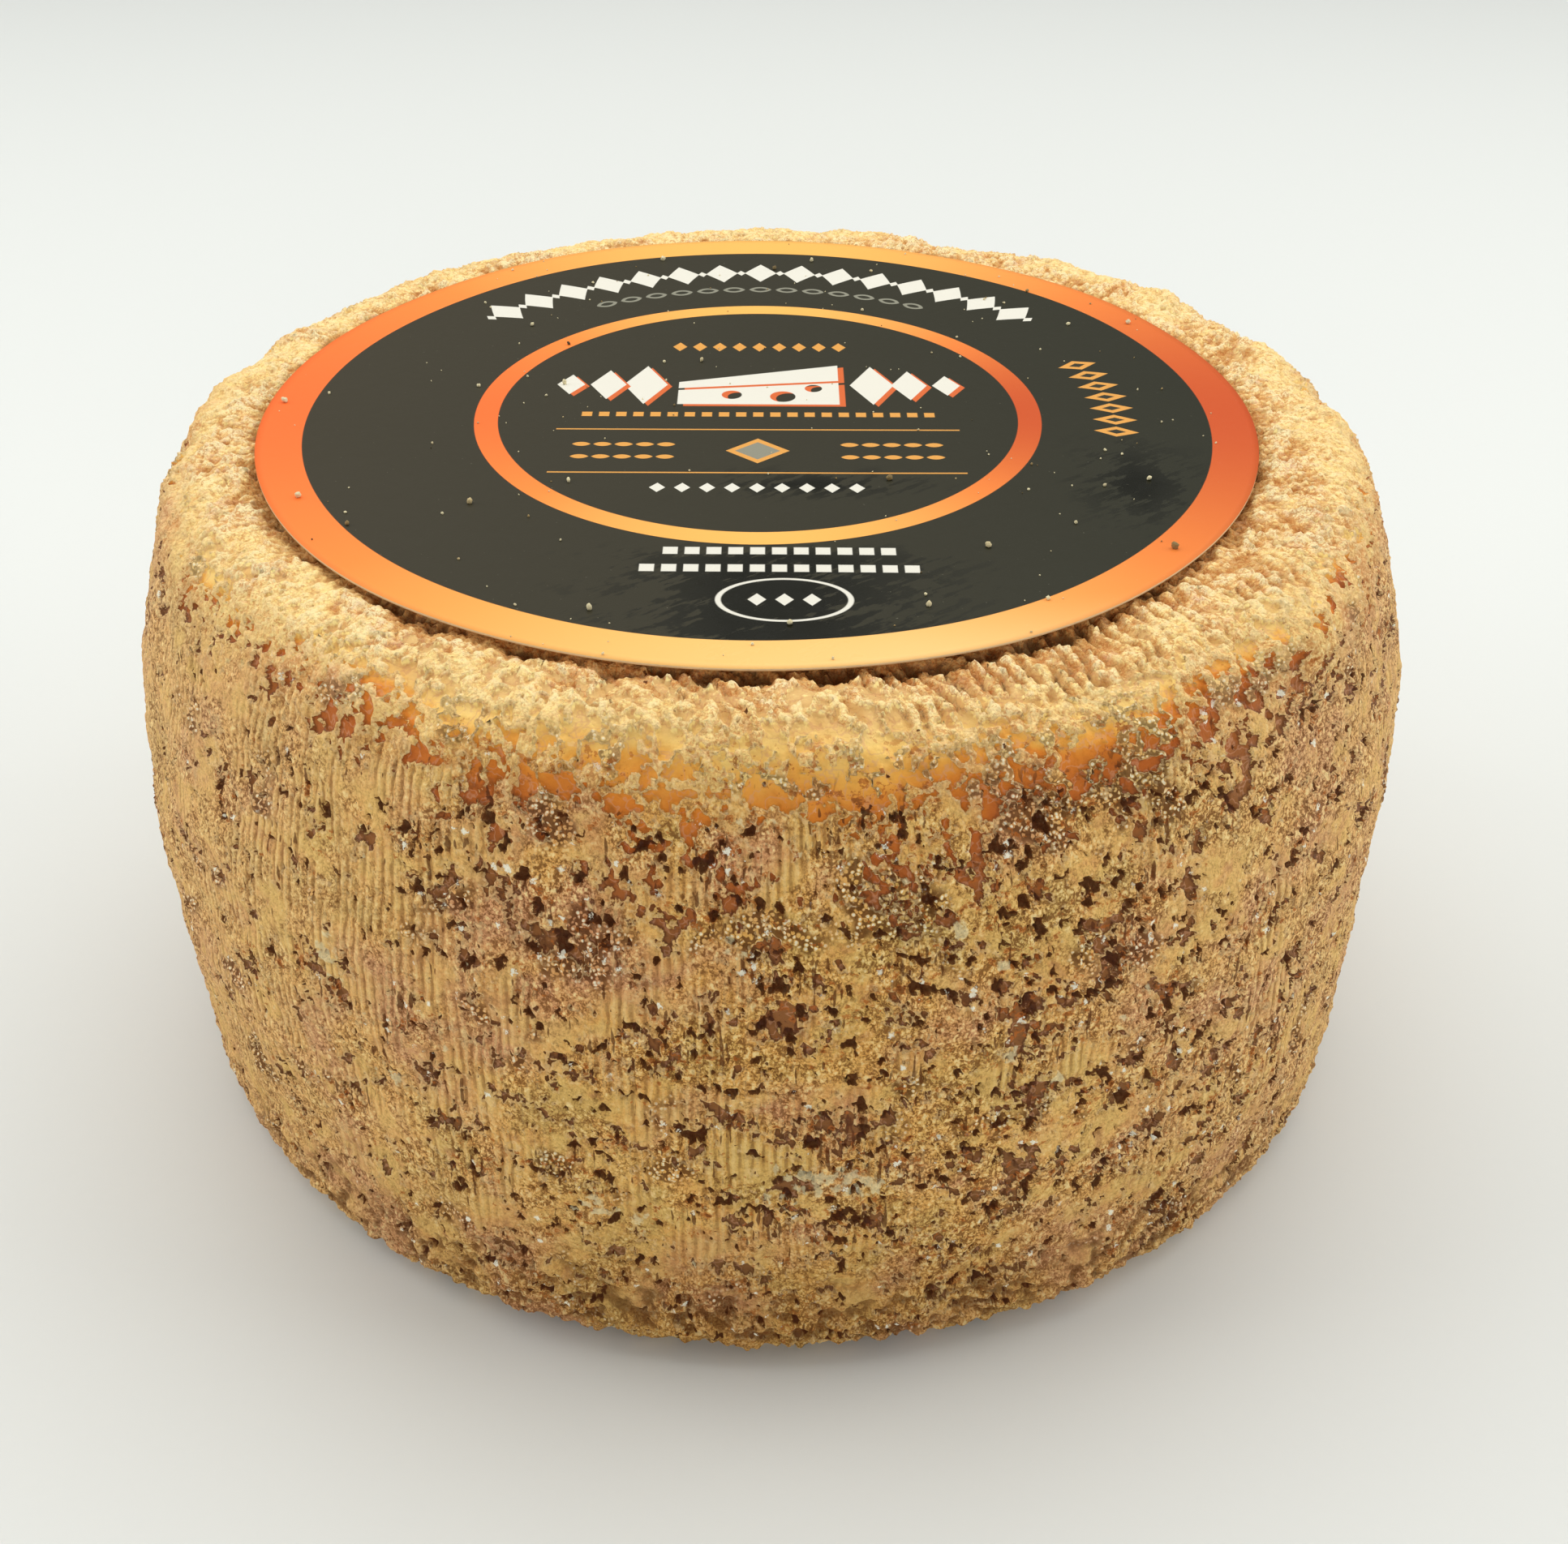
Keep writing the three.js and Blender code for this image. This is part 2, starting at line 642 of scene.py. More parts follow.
@dataclass(frozen=True)
class RindPatterns:
    """Random patterns that make up the rind."""

    cover_wide: Mottle = Mottle(6.0, 1, 4, 0.65)
    cover: Mottle = Mottle(2.2, 2, 3, 0.7, 1.2)
    cover_fine: Mottle = Mottle(1.1, 9, 2, 0.8)
    broken: Mottle = Mottle(9.0, 13, 3, 0.7)
    crumbly: Mottle = Mottle(10.0, 11, 3)
    plates: Mottle = Mottle(7.0, 29, 2)
    pits: Mottle = Mottle(2.0, 4, 4, 0.6, 1.1)
    wax: Mottle = Mottle(9.0, 6, 3)
    wax_edge: Mottle = Mottle(12.0, 14, 2)
    lace: Mottle = Mottle(3.4, 10, 3, 0.7)
    lace_fine: Mottle = Mottle(1.3, 12, 2)
    bloom: Mottle = Mottle(1.3, 7, 2)
    bloom_wide: Mottle = Mottle(24.0, 8, 2)
    rib_wander: Mottle = Mottle(16.0, 31, 2, 1.0, 2.5)
    rib_breaks: Mottle = Mottle(3.2, 32, 2, 0.8, 3.0)
    rib_patches: Mottle = Mottle(17.0, 33, 3, 0.8, 1.8)
    furrow_wander: Mottle = Mottle(5.0, 41, 2)
    furrow_patches: Mottle = Mottle(7.0, 42, 2)
    undercut: Mottle = Mottle(6.0, 43, 3)
    lumps_wide: Mottle = Mottle(26.0, 21, 2)
    lumps: Mottle = Mottle(8.0, 22, 2)
    lumps_shoulder: Mottle = Mottle(13.0, 23, 3)
    clumps_top: Mottle = Mottle(3.6, 26, 3)
    clumps_foot: Mottle = Mottle(2.6, 28, 3)
    clod_shift: Mottle = Mottle(3.0, 27, 2)
    wrinkles: Mottle = Mottle(2.4, 25, 2)
    grit: Mottle = Mottle(1.2, 24, 3, 0.5)
    small_grains: Grains = Grains(1.0, 1)
    big_grains: Grains = Grains(1.9, 2)
    clods: Grains = Grains(1.7, 3)


@dataclass(frozen=True)
class RindDepths:
    """How far the rind's features stand out or lie deep, in millimetres."""

    crust: float = 0.6
    pit: float = 0.6
    rib: float = 0.22
    furrow: float = 1.0
    torn_rim: float = 0.12
    clod: float = 0.26
    clod_shift: float = 0.5
    grain: float = 0.16
    grain_crumbly: float = 0.45
    grain_shoulder: float = 0.4
    grit: float = 0.055
    wrinkle: float = 0.06
    bloom: float = 0.25
    top_big_grain: float = 0.50
    top_small_grain: float = 0.50
    top_clump: float = 0.22
    foot_grain: float = 0.45
    foot_clump: float = 0.30
    lump_wide: float = 0.30
    lump: float = 0.14
    lump_shoulder: float = 0.42
    undercut: float = 0.75
    undercut_in_front: float = 1.0


@dataclass
class Weathering:
    """What ageing did to each point of the rind.

    Attributes:
        cover: How firmly crust covers the point: above 0 crust, below 0 bare skin.
        pit: How deep in a pit it lies: a pit where this is above 0.
        broken: How much the crust is broken up hereabouts.
        crumbly: How much the crust falls into single grains.
        plate: How much the crust lies in smooth flakes.
        waxy: How much pale wax shows between the crumbs.
        bloom: How much white mould grows on it: mould where this is above 0.
        rib_wander: How far the ribs wander sideways, as an angle of their wave.
        rib_strength: How clearly the ribs show.
        furrow: How deep in a slanting furrow it lies.
    """

    cover: np.ndarray
    pit: np.ndarray
    broken: np.ndarray
    crumbly: np.ndarray
    plate: np.ndarray
    waxy: np.ndarray
    bloom: np.ndarray
    rib_wander: np.ndarray
    rib_strength: np.ndarray
    furrow: np.ndarray


@dataclass
class Rind:
    """The crumbly natural rind, the whole outside of the wheel.

    The smooth skin of the cheese lies a little below the surface. A crust of dried, granular rind
    covers most of it and has broken away in pits and patches.
    """

    shape: WheelShape
    label_radius: float
    label_centre: tuple[float, float]
    label_underside: float
    patterns: RindPatterns = RindPatterns()
    depths: RindDepths = RindDepths()
    columns: int = 1640
    row_step: float = 0.44
    hidden_step: float = 3.0
    hidden_inset: float = 6.0
    base_step: float = 0.7
    halve_below: tuple[float, float] = (0.55, 0.28)
    rib_count: int = 410
    furrow_pitch: float = 2.3
    furrow_bearing: tuple[float, float] = (0.87, 0.48)
    gap_under_label: float = 0.3
    label_margin: float = 0.6
    map_margin: float = 3.0
    map_strip: float = 110.0
    crumbly_spots: tuple[Spot, ...] = (
        Spot(17, 84, 16, 9, 1.7),
        Spot(27, 78, 14, 12, 1.2),
        Spot(-16, 86, 6, 3, 1.6),
        Spot(4, 92, 9, 2, 1.2),
        Spot(8, 82, 5, 4, 1.3),
        Spot(12, 44, 8, 8, 0.9),
        Spot(-22, 66, 8, 8, 0.7),
    )
    bloom_spots: tuple[Spot, ...] = (
        Spot(4.2, 37.5, 7.0, 2.8, 3.0),
        Spot(8.0, 35.5, 3.5, 2.4, 2.0),
        Spot(1.0, 33.0, 4.0, 1.8, 2.2),
        Spot(-13.5, 30.0, 3.4, 2.4, 3.0),
        Spot(-10.5, 27.0, 2.4, 1.8, 2.4),
        Spot(-36, 60, 1.8, 2.6, 3.0),
        Spot(17, 68, 1.4, 1.2, 4.4),
        Spot(18, 55, 1.9, 1.2, 4.4),
        Spot(22, 49, 1.5, 1.4, 4.2),
        Spot(14, 74, 1.3, 1.4, 4.0),
        Spot(-47, 75, 1.4, 2.2, 2.8),
        Spot(-31, 42, 1.6, 1.6, 2.8),
        Spot(-3, 74, 2.0, 1.4, 2.4),
    )
    dents: tuple[Spot, ...] = (
        Spot(-86, 95, 4.0, 3.0, 1.3),
        Spot(-97, 97, 3.5, 2.5, 1.1),
        Spot(-76, 91, 3.0, 2.2, 0.7),
        Spot(82, 94, 5.0, 2.6, 0.7),
        Spot(33, 37, 11.0, 1.1, 0.55),
        Spot(40, 42, 8.0, 0.9, 0.5),
        Spot(27, 32, 9.0, 1.0, 0.4),
        Spot(50, 78, 1.3, 4.0, 0.6),
    )

    def rings(self) -> list[Ring]:
        """Lays out all rings of points.

        Returns:
            The rings, from the middle of the top face, over the side, to the middle of the base.
        """
        shoulder = self.shape.shoulder
        base = self.shape.base_edge
        rings = self._top_rings(shoulder)
        reach = 0.0
        arc_length = shoulder.arc * (math.pi / 2 - shoulder.tilt)
        steps = round(arc_length / self.row_step)
        for step in range(steps):
            tilt = math.pi / 2 - (math.pi / 2 - shoulder.tilt) * step / steps
            rings.append(self._arc_ring(shoulder, tilt, reach + arc_length * step / steps))
        reach += arc_length
        side_length = shoulder.meet_height - base.meet_height
        steps = round(side_length / self.row_step)
        for step in range(steps):
            height = shoulder.meet_height - side_length * step / steps
            radius, tilt = self.shape.side(height)
            down = reach + side_length * step / steps
            rings.append(Ring(radius, height, tilt, down, self.columns, 1))
        reach += side_length
        arc_length = base.arc * (math.pi / 2 + base.tilt)
        steps = round(arc_length / self.row_step)
        for step in range(steps + 1):
            tilt = base.tilt - (math.pi / 2 + base.tilt) * step / steps
            rings.append(self._arc_ring(base, tilt, reach + arc_length * step / steps))
        rings.extend(self._base_rings(base, reach + arc_length))
        return rings

    def _arc_ring(self, edge: EdgeRound, tilt: float, reach: float) -> Ring:
        """Lays one ring on a rounded edge.

        Args:
            edge: The rounded edge.
            tilt: Angle by which the surface faces up there.
            reach: Distance down the surface.

        Returns:
            The ring.
        """
        radius = edge.centre_radius + edge.arc * math.cos(tilt)
        height = edge.centre_height + edge.arc * math.sin(tilt)
        return Ring(radius, height, tilt, reach, self.columns, 1)

    def _top_rings(self, shoulder: EdgeRound) -> list[Ring]:
        """Lays out the rings on the top face.

        Args:
            shoulder: The rounded edge round the top face.

        Returns:
            Rings from the middle outwards: coarse under the label, fine outside it.
        """
        hidden = self.label_radius - self.hidden_inset
        fine = np.arange(hidden, shoulder.centre_radius, self.row_step)
        coarse = np.arange(self.hidden_step, hidden - self.hidden_step / 2, self.hidden_step)
        rings = []
        for radius in [*coarse, *fine]:
            columns = self._columns_at(radius, hidden)
            reach = radius - shoulder.centre_radius
            rings.append(Ring(radius, self.shape.height, math.pi / 2, reach, columns, 0))
        return rings

    def _base_rings(self, base: EdgeRound, reach: float) -> list[Ring]:
        """Lays out the rings on the flat base.

        Args:
            base: The rounded edge round the base.
            reach: Distance down the surface at the base's edge.

        Returns:
            Rings from the edge to near the middle.
        """
        steps = int(base.centre_radius / self.base_step)
        rings = []
        for step in range(1, steps):
            radius = base.centre_radius * (1 - step / steps)
            columns = self._columns_at(radius, base.centre_radius * 0.9)
            down = reach + base.centre_radius - radius
            rings.append(Ring(radius, 0.0, -math.pi / 2, down, columns, 2))
        return rings

    def _columns_at(self, radius: float, full_radius: float) -> int:
        """Chooses the number of points in a ring.

        Args:
            radius: The ring's radius.
            full_radius: Radius from which rings have all columns.

        Returns:
            The number, halved where the rings get much smaller.
        """
        hair = 1e-6
        limits = [full_radius - hair, *(full_radius * share for share in self.halve_below)]
        return self.columns // 2 ** sum(radius <= limit for limit in limits)

    def surface(self, rings: Sequence[Ring]) -> RindSurface:
        """Places the points before any relief.

        Args:
            rings: All rings.

        Returns:
            Their points, with the two middle points last.
        """
        columns = [ring.columns for ring in rings]
        angle = np.concatenate([np.arange(count) * 2 * np.pi / count for count in columns])
        radius = np.repeat([ring.radius for ring in rings], columns)
        height = np.repeat([ring.height for ring in rings], columns)
        tilt = np.repeat([ring.tilt for ring in rings], columns)
        reach = np.repeat([ring.reach for ring in rings], columns)
        angle = np.append(angle, [0.0, 0.0])
        radius = np.append(radius, [0.0, 0.0])
        height = np.append(height, [self.shape.height, 0.0])
        tilt = np.append(tilt, [math.pi / 2, -math.pi / 2])
        reach = np.append(reach, [rings[0].reach, rings[-1].reach])
        share = np.minimum(1.0, radius / self.shape.bulge_radius)
        out = radius * (1.0 + self.shape.wave(angle) * share**2 / self.shape.bulge_radius)
        places = np.column_stack([out * np.cos(angle), out * np.sin(angle), height])
        flat = np.cos(tilt)
        normals = np.column_stack([flat * np.cos(angle), flat * np.sin(angle), np.sin(tilt)])
        return RindSurface(places, normals, reach, angle, radius, height)

    def faces(self, rings: Sequence[Ring]) -> tuple[np.ndarray, np.ndarray, np.ndarray, np.ndarray]:
        """Faces between the rings.

        Args:
            rings: All rings, from the top's middle to the base's middle.

        Returns:
            Four-cornered faces, three-cornered faces, and the part of the flat map of each.
        """
        starts = np.concatenate([[0], np.cumsum([ring.columns for ring in rings])])
        quads, quad_sheets, tris, tri_sheets = [], [], [], []
        for number in range(len(rings) - 1):
            upper, lower = rings[number], rings[number + 1]
            above, below = starts[number], starts[number + 1]
            sheet = max(upper.sheet, lower.sheet) if lower.sheet != 1 else lower.sheet
            if upper.columns == lower.columns:
                here = np.arange(upper.columns)
                after = (here + 1) % upper.columns
                quads.append(
                    np.column_stack([above + here, below + here, below + after, above + after])
                )
                quad_sheets.append(np.full(len(here), sheet))
            else:
                made = self._halving_faces(upper.columns, lower.columns, above, below)
                tris.append(made)
                tri_sheets.append(np.full(len(made), sheet))
        total = starts[-1]
        here = np.arange(rings[0].columns)
        after = (here + 1) % rings[0].columns
        tris.append(np.column_stack([np.full(len(here), total), here, after]))
        tri_sheets.append(np.full(len(here), 0))
        here = np.arange(rings[-1].columns)
        after = (here + 1) % rings[-1].columns
        last = starts[-2]
        tris.append(np.column_stack([last + here, np.full(len(here), total + 1), last + after]))
        tri_sheets.append(np.full(len(here), 2))
        return (
            np.concatenate(quads),
            np.concatenate(tris),
            np.concatenate(quad_sheets),
            np.concatenate(tri_sheets),
        )

    @staticmethod
    def _halving_faces(upper: int, lower: int, above: int, below: int) -> np.ndarray:
        """Joins a ring to one with half or twice as many points.

        Args:
            upper: How many points the upper ring has.
            lower: How many the lower ring has.
            above: Number of the upper ring's first point.
            below: Number of the lower ring's first point.

        Returns:
            The faces, three corners each.
        """
        few = np.arange(min(upper, lower))
        few_after = (few + 1) % len(few)
        many = 2 * few
        many_middle = many + 1
        many_after = (many + 2) % (2 * len(few))
        if upper > lower:
            few, few_after = below + few, below + few_after
            many, many_middle, many_after = above + many, above + many_middle, above + many_after
            groups = [(many, few, many_middle), (many_middle, few, few_after)]
            groups.append((many_middle, few_after, many_after))
        else:
            few, few_after = above + few, above + few_after
            many, many_middle, many_after = below + many, below + many_middle, below + many_after
            groups = [(few, many, many_middle), (few, many_middle, few_after)]
            groups.append((few_after, many_middle, many_after))
        return np.concatenate([np.column_stack(group) for group in groups])

    def weather(self, spot: RindSurface) -> Weathering:
        """Works out what ageing did to the rind.

        Args:
            spot: The points of the smooth surface.

        Returns:
            What shows where, and how strongly.
        """
        patterns, places, turn = self.patterns, spot.places, spot.turn
        crumbly = 0.8 * patterns.crumbly.at(places)
        crumbly = crumbly + spot.near(self.crumbly_spots, self.shape.bulge_radius)
        crumbly = crumbly + 0.75 * hump(9.0, 5.0, spot.reach) * hump(0.0, 1.1, turn)
        crumbly = ease(1.1, 1.7, crumbly) * (1 - spot.on_top) * (1 - spot.on_base)
        broken = 0.7 * patterns.broken.at(places) + 0.9 * hump(math.radians(12), 0.7, turn)
        broken = broken - 0.6 * hump(math.radians(-48), 0.5, turn) - 0.2
        plate = ease(-0.2, 0.9, patterns.plates.at(places)) * spot.on_side * (1 - crumbly)
        furrow = self._furrows(spot)
        return Weathering(
            cover=self._cover(spot, broken) - 0.9 * furrow,
            pit=self._pits(spot, broken),
            broken=broken,
            crumbly=crumbly,
            plate=plate,
            waxy=self._wax(spot),
            bloom=self._bloom(spot),
            rib_wander=0.7 * patterns.rib_wander.at(places),
            rib_strength=self._rib_strength(spot, crumbly),
            furrow=furrow,
        )

    def _cover(self, spot: RindSurface, broken: np.ndarray) -> np.ndarray:
        """Works out how firmly the crust holds, with a lace of crumbs over the shoulder's wax.

        Args:
            spot: The points of the smooth surface.
            broken: How much the crust is broken up hereabouts.

        Returns:
            Above 0 there is crust, below 0 bare skin, for each point.
        """
        patterns, places, reach, turn = self.patterns, spot.places, spot.reach, spot.turn
        cover = 0.66 * patterns.cover_wide.at(places) + 0.62 * patterns.cover.at(places)
        cover += 0.42 * patterns.cover_fine.at(places)
        cover = cover / cover.std()
        rarity = 1.4 - 0.3 * np.clip(broken, -1.5, 2.0) * spot.on_side
        rarity += 0.5 * spot.on_base + 0.2 * ease(70.0, 88.0, reach)
        cover = cover + rarity
        wander = 1.6 * np.cos(turn * 3.0 + 0.5) + 1.2 * patterns.wax_edge.at(places)
        band = ease(-5.0, -1.0, reach + wander) * (1 - ease(12.0, 19.0, reach + wander))
        band = band * (0.3 + 0.7 * hump(0.05, 0.8, turn))
        lace = 0.62 - np.abs(patterns.lace.at(places)) + 0.35 * hump(0.0, 3.5, reach)
        lace = 1.9 * lace + 0.6 * patterns.lace_fine.at(places)
        on_top = spot.on_top
        top_cover = cover + 0.35 + 0.3 * ease(-3.0, -9.0, reach)
        side = cover * (1 - band) + lace * band
        top = top_cover * (1 - band) + lace * band
        return side * (1 - on_top) + top * on_top

    def _pits(self, spot: RindSurface, broken: np.ndarray) -> np.ndarray:
        """Places the dark pits in the side.

        Args:
            spot: The points of the smooth surface.
            broken: How much the crust is broken up hereabouts.

        Returns:
            How deep in a pit each point lies: a pit where this is above 0.
        """
        low = ease(72.0, 90.0, spot.reach)
        shoulder = 1 - ease(10.0, 18.0, spot.reach)
        crowding = 0.42 * np.clip(broken, -1.5, 2.0) * (1 - 0.2 * low)
        rarity = 1.5 - crowding + 0.5 * spot.on_base + 1.6 * shoulder
        return self.patterns.pits.at(spot.places) - rarity

    def _wax(self, spot: RindSurface) -> np.ndarray:
        """Places the wax, most of it on the shoulder in front.

        Args:
            spot: The points of the smooth surface.

        Returns:
            How much pale wax shows, 0 to 1.
        """
        waxy = self.patterns.wax.at(spot.places) * 0.8 + 1.6 * hump(4.0, 5.5, spot.reach)
        waxy += 1.0 * hump(0.0, 0.75, spot.turn) * hump(4.0, 6.0, spot.reach)
        zone = ease(-8.5, -4.0, spot.reach) * (1 - ease(9.0, 14.0, spot.reach))
        return ease(0.2, 1.3, waxy) * zone

    def _bloom(self, spot: RindSurface) -> np.ndarray:
        """Places the patches of white mould.

        Args:
            spot: The points of the smooth surface.

        Returns:
            How thick the mould is: mould where this is above 0.
        """
        patterns = self.patterns
        bloom = patterns.bloom.at(spot.places) + 0.3 * patterns.bloom_wide.at(spot.places)
        bloom += 0.8 * hump(math.radians(20), 0.35, spot.turn) * hump(30.0, 26.0, spot.reach)
        bloom = bloom + spot.near(self.bloom_spots, self.shape.bulge_radius)
        return (bloom - 2.75) * (1 - spot.on_top) - 2.0 * spot.on_top

    def _rib_strength(self, spot: RindSurface, crumbly: np.ndarray) -> np.ndarray:
        """Works out where the fine upright grooves from the cheese mould are left.

        Args:
            spot: The points of the smooth surface.
            crumbly: How much the crust falls into single grains.

        Returns:
            How clearly the ribs show, 0 to 1.
        """
        breaks = self.patterns.rib_breaks.at(spot.places)
        kept = self.patterns.rib_patches.at(spot.places)
        to_left = hump(math.radians(-42), 0.55, spot.turn)
        strength = ease(-0.5, 1.2, kept + 1.2 * to_left + 0.1) * ease(-1.6, 0.6, breaks)
        return strength * spot.on_side * (1 - 0.8 * crumbly) * (1 - ease(72.0, 90.0, spot.reach))

    def _furrows(self, spot: RindSurface) -> np.ndarray:
        """Places slanting furrows across the top face near its rim, where the crust broke in rows.

        Args:
            spot: The points of the smooth surface.

        Returns:
            How deep in a furrow each point lies, 0 to 1.
        """
        bearing_x, bearing_y = self.furrow_bearing
        across = spot.places[:, 0] * bearing_x + spot.places[:, 1] * bearing_y
        wander = 1.1 * self.patterns.furrow_wander.at(spot.places)
        wave = 0.5 + 0.5 * np.cos(across * 2 * math.pi / self.furrow_pitch + wander)
        zone = hump(math.radians(24), 0.6, spot.turn) * (1 - ease(0.0, 5.0, spot.reach))
        kept = ease(-0.8, 0.6, self.patterns.furrow_patches.at(spot.places) + 0.2)
        return ease(0.35, 0.9, wave) * zone * kept

    def relief(self, spot: RindSurface, aged: Weathering) -> tuple[np.ndarray, np.ndarray]:
        """Works out the fine relief.

        Args:
            spot: The points of the smooth surface.
            aged: What ageing did to them.

        Returns:
            How far each point stands out, in millimetres, and how high it lies on a clod or grain.
        """
        patterns, depths, places = self.patterns, self.depths, spot.places
        small = patterns.small_grains.at(places)
        big = patterns.big_grains.at(places)
        moved = places + depths.clod_shift * patterns.clod_shift.at(places)[:, None]
        clods = patterns.clods.at(moved)
        crust = ease(-0.10, 0.16, aged.cover)
        relief = self._crust_relief(spot, aged, small, clods) * crust
        relief -= depths.crust * (1 - crust)
        relief -= depths.pit * ease(0.0, 0.35, aged.pit) * (1 - spot.on_top)
        wrinkles = np.minimum(np.abs(patterns.wrinkles.at(places)), 1.5)
        relief += depths.wrinkle * wrinkles * (1 - crust)
        relief += depths.bloom * ease(0.0, 0.6, aged.bloom) * small
        top_crumbs = depths.top_big_grain * big + depths.top_small_grain * small
        top_crumbs = top_crumbs + depths.top_clump * patterns.clumps_top.at(places) - 0.6
        top_crumbs = top_crumbs * (1 - 0.85 * aged.waxy) * (1 - 0.5 * aged.furrow)
        relief += spot.on_top * crust * top_crumbs
        ragged = 0.5 + 0.5 * hump(0.0, 0.8, spot.turn)
        foot_crumbs = depths.foot_grain * big + depths.foot_clump * patterns.clumps_foot.at(places)
        relief += spot.on_foot * ragged * (foot_crumbs - 0.25)
        relief -= depths.furrow * aged.furrow
        relief -= self._undercut(spot)
        return relief, 0.5 * clods + 0.5 * small

    def _crust_relief(
        self, spot: RindSurface, aged: Weathering, small: np.ndarray, clods: np.ndarray
    ) -> np.ndarray:
        """Works out the relief of unbroken crust.

        Args:
            spot: The points of the smooth surface.
            aged: What ageing did to them.
            small: Small grains.
            clods: Clods.

        Returns:
            How far each point stands out, in millimetres.
        """
        depths = self.depths
        relief = depths.grit * self.patterns.grit.at(spot.places) + depths.grain * (small - 0.5)
        relief += aged.crumbly * (depths.grain_crumbly * small - 0.2)
        relief += depths.clod * (clods - 0.5) * (1 - 0.6 * aged.rib_strength)
        relief *= 1 - 0.55 * aged.plate
        shoulder = hump(8.0, 6.0, spot.reach) * (1 - 0.5 * aged.waxy)
        relief += depths.grain_shoulder * shoulder * (small - 0.4)
        relief += depths.torn_rim * hump(0.25, 0.22, aged.cover)
        groove = 0.5 + 0.5 * np.cos(self.rib_count * spot.angle + aged.rib_wander)
        return relief - depths.rib * ease(0.45, 1.0, groove) * aged.rib_strength

    def _undercut(self, spot: RindSurface) -> np.ndarray:
        """Sinks the crumbs beside and below the label's edge.

        Args:
            spot: The points of the smooth surface.

        Returns:
            How much deeper each point lies, in millimetres.
        """
        across = spot.places[:, 0] - self.label_centre[0]
        along = spot.places[:, 1] - self.label_centre[1]
        from_edge = np.hypot(across, along) - self.label_radius
        uneven = ease(-0.8, 1.0, self.patterns.undercut.at(spot.places))
        in_front = self.depths.undercut_in_front * hump(0.0, 0.9, spot.turn)
        depth = self.depths.undercut + in_front * uneven
        return depth * hump(-0.6, 1.9, from_edge) * (1 - ease(0.0, 2.0, spot.reach))

    def _lumps(self, spot: RindSurface) -> np.ndarray:
        """Works out the wheel's broad unevenness, with its dents.

        Args:
            spot: The points of the smooth surface.

        Returns:
            How far each point stands out, in millimetres.
        """
        patterns, depths, places = self.patterns, self.depths, spot.places
        lumps = depths.lump_wide * patterns.lumps_wide.at(places)
        lumps = (lumps + depths.lump * patterns.lumps.at(places)) * (1 - spot.on_base)
        shoulder = hump(4.0, 9.0, spot.reach)
        lumps += depths.lump_shoulder * patterns.lumps_shoulder.at(places) * shoulder
        return lumps - spot.near(self.dents, self.shape.bulge_radius)

    def build(self) -> bpy.types.Object:
        """Makes the rind.

        Returns:
            The piece.
        """
        rings = self.rings()
        spot = self.surface(rings)
        aged = self.weather(spot)
        relief, grain_height = self.relief(spot, aged)
        stands_out = relief + self._lumps(spot)
        points = self._below_label(spot.places + spot.normals * stands_out[:, None])
        points[:, 2] = np.maximum(points[:, 2], 0.0)
        quads, tris, quad_sheets, tri_sheets = self.faces(rings)
        piece = make_piece("rind", points, [quads, tris])
        readings = {
            "crust": np.clip(aged.cover, -1.5, 2.5),
            "pit": np.clip(aged.pit, -1.5, 1.5),
            "broken": ease(-0.8, 1.4, aged.broken) * (1 - spot.on_base),
            "crumbly": aged.crumbly,
            "plate": aged.plate,
            "waxy": aged.waxy,
            "bloom": np.clip(aged.bloom, -2.0, 2.0),
            "ribs": aged.rib_strength,
            "rib_wander": aged.rib_wander,
            "grain_height": grain_height,
            "hollow": -relief,
            "reach": spot.reach,
            "on_top": spot.on_top,
            "on_foot": spot.on_foot,
            # 0 in front, 1 round the sides and back; the material paints the sides paler with it as
            # painted light.
            "paler": 1 - hump(0.0, 0.75, spot.turn),
        }
        carry(piece, readings)
        lay_map(piece, self._map_points(spot, [quads, tris], [quad_sheets, tri_sheets]))
        piece.data.materials.append(RindFinish(self.rib_count).build())
        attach(piece, "root")
        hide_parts("cheese_wheel")
        return piece

    def _below_label(self, points: np.ndarray) -> np.ndarray:
        """Keeps the rind below the label.

        Args:
            points: The rind's points, changed in place.

        Returns:
            The same points, with those under the label clear of it.
        """
        across = points[:, 0] - self.label_centre[0]
        along = points[:, 1] - self.label_centre[1]
        under = np.hypot(across, along) < self.label_radius + self.label_margin
        ceiling = self.label_underside - self.gap_under_label
        points[:, 2] = np.where(under, np.minimum(points[:, 2], ceiling), points[:, 2])
        return points

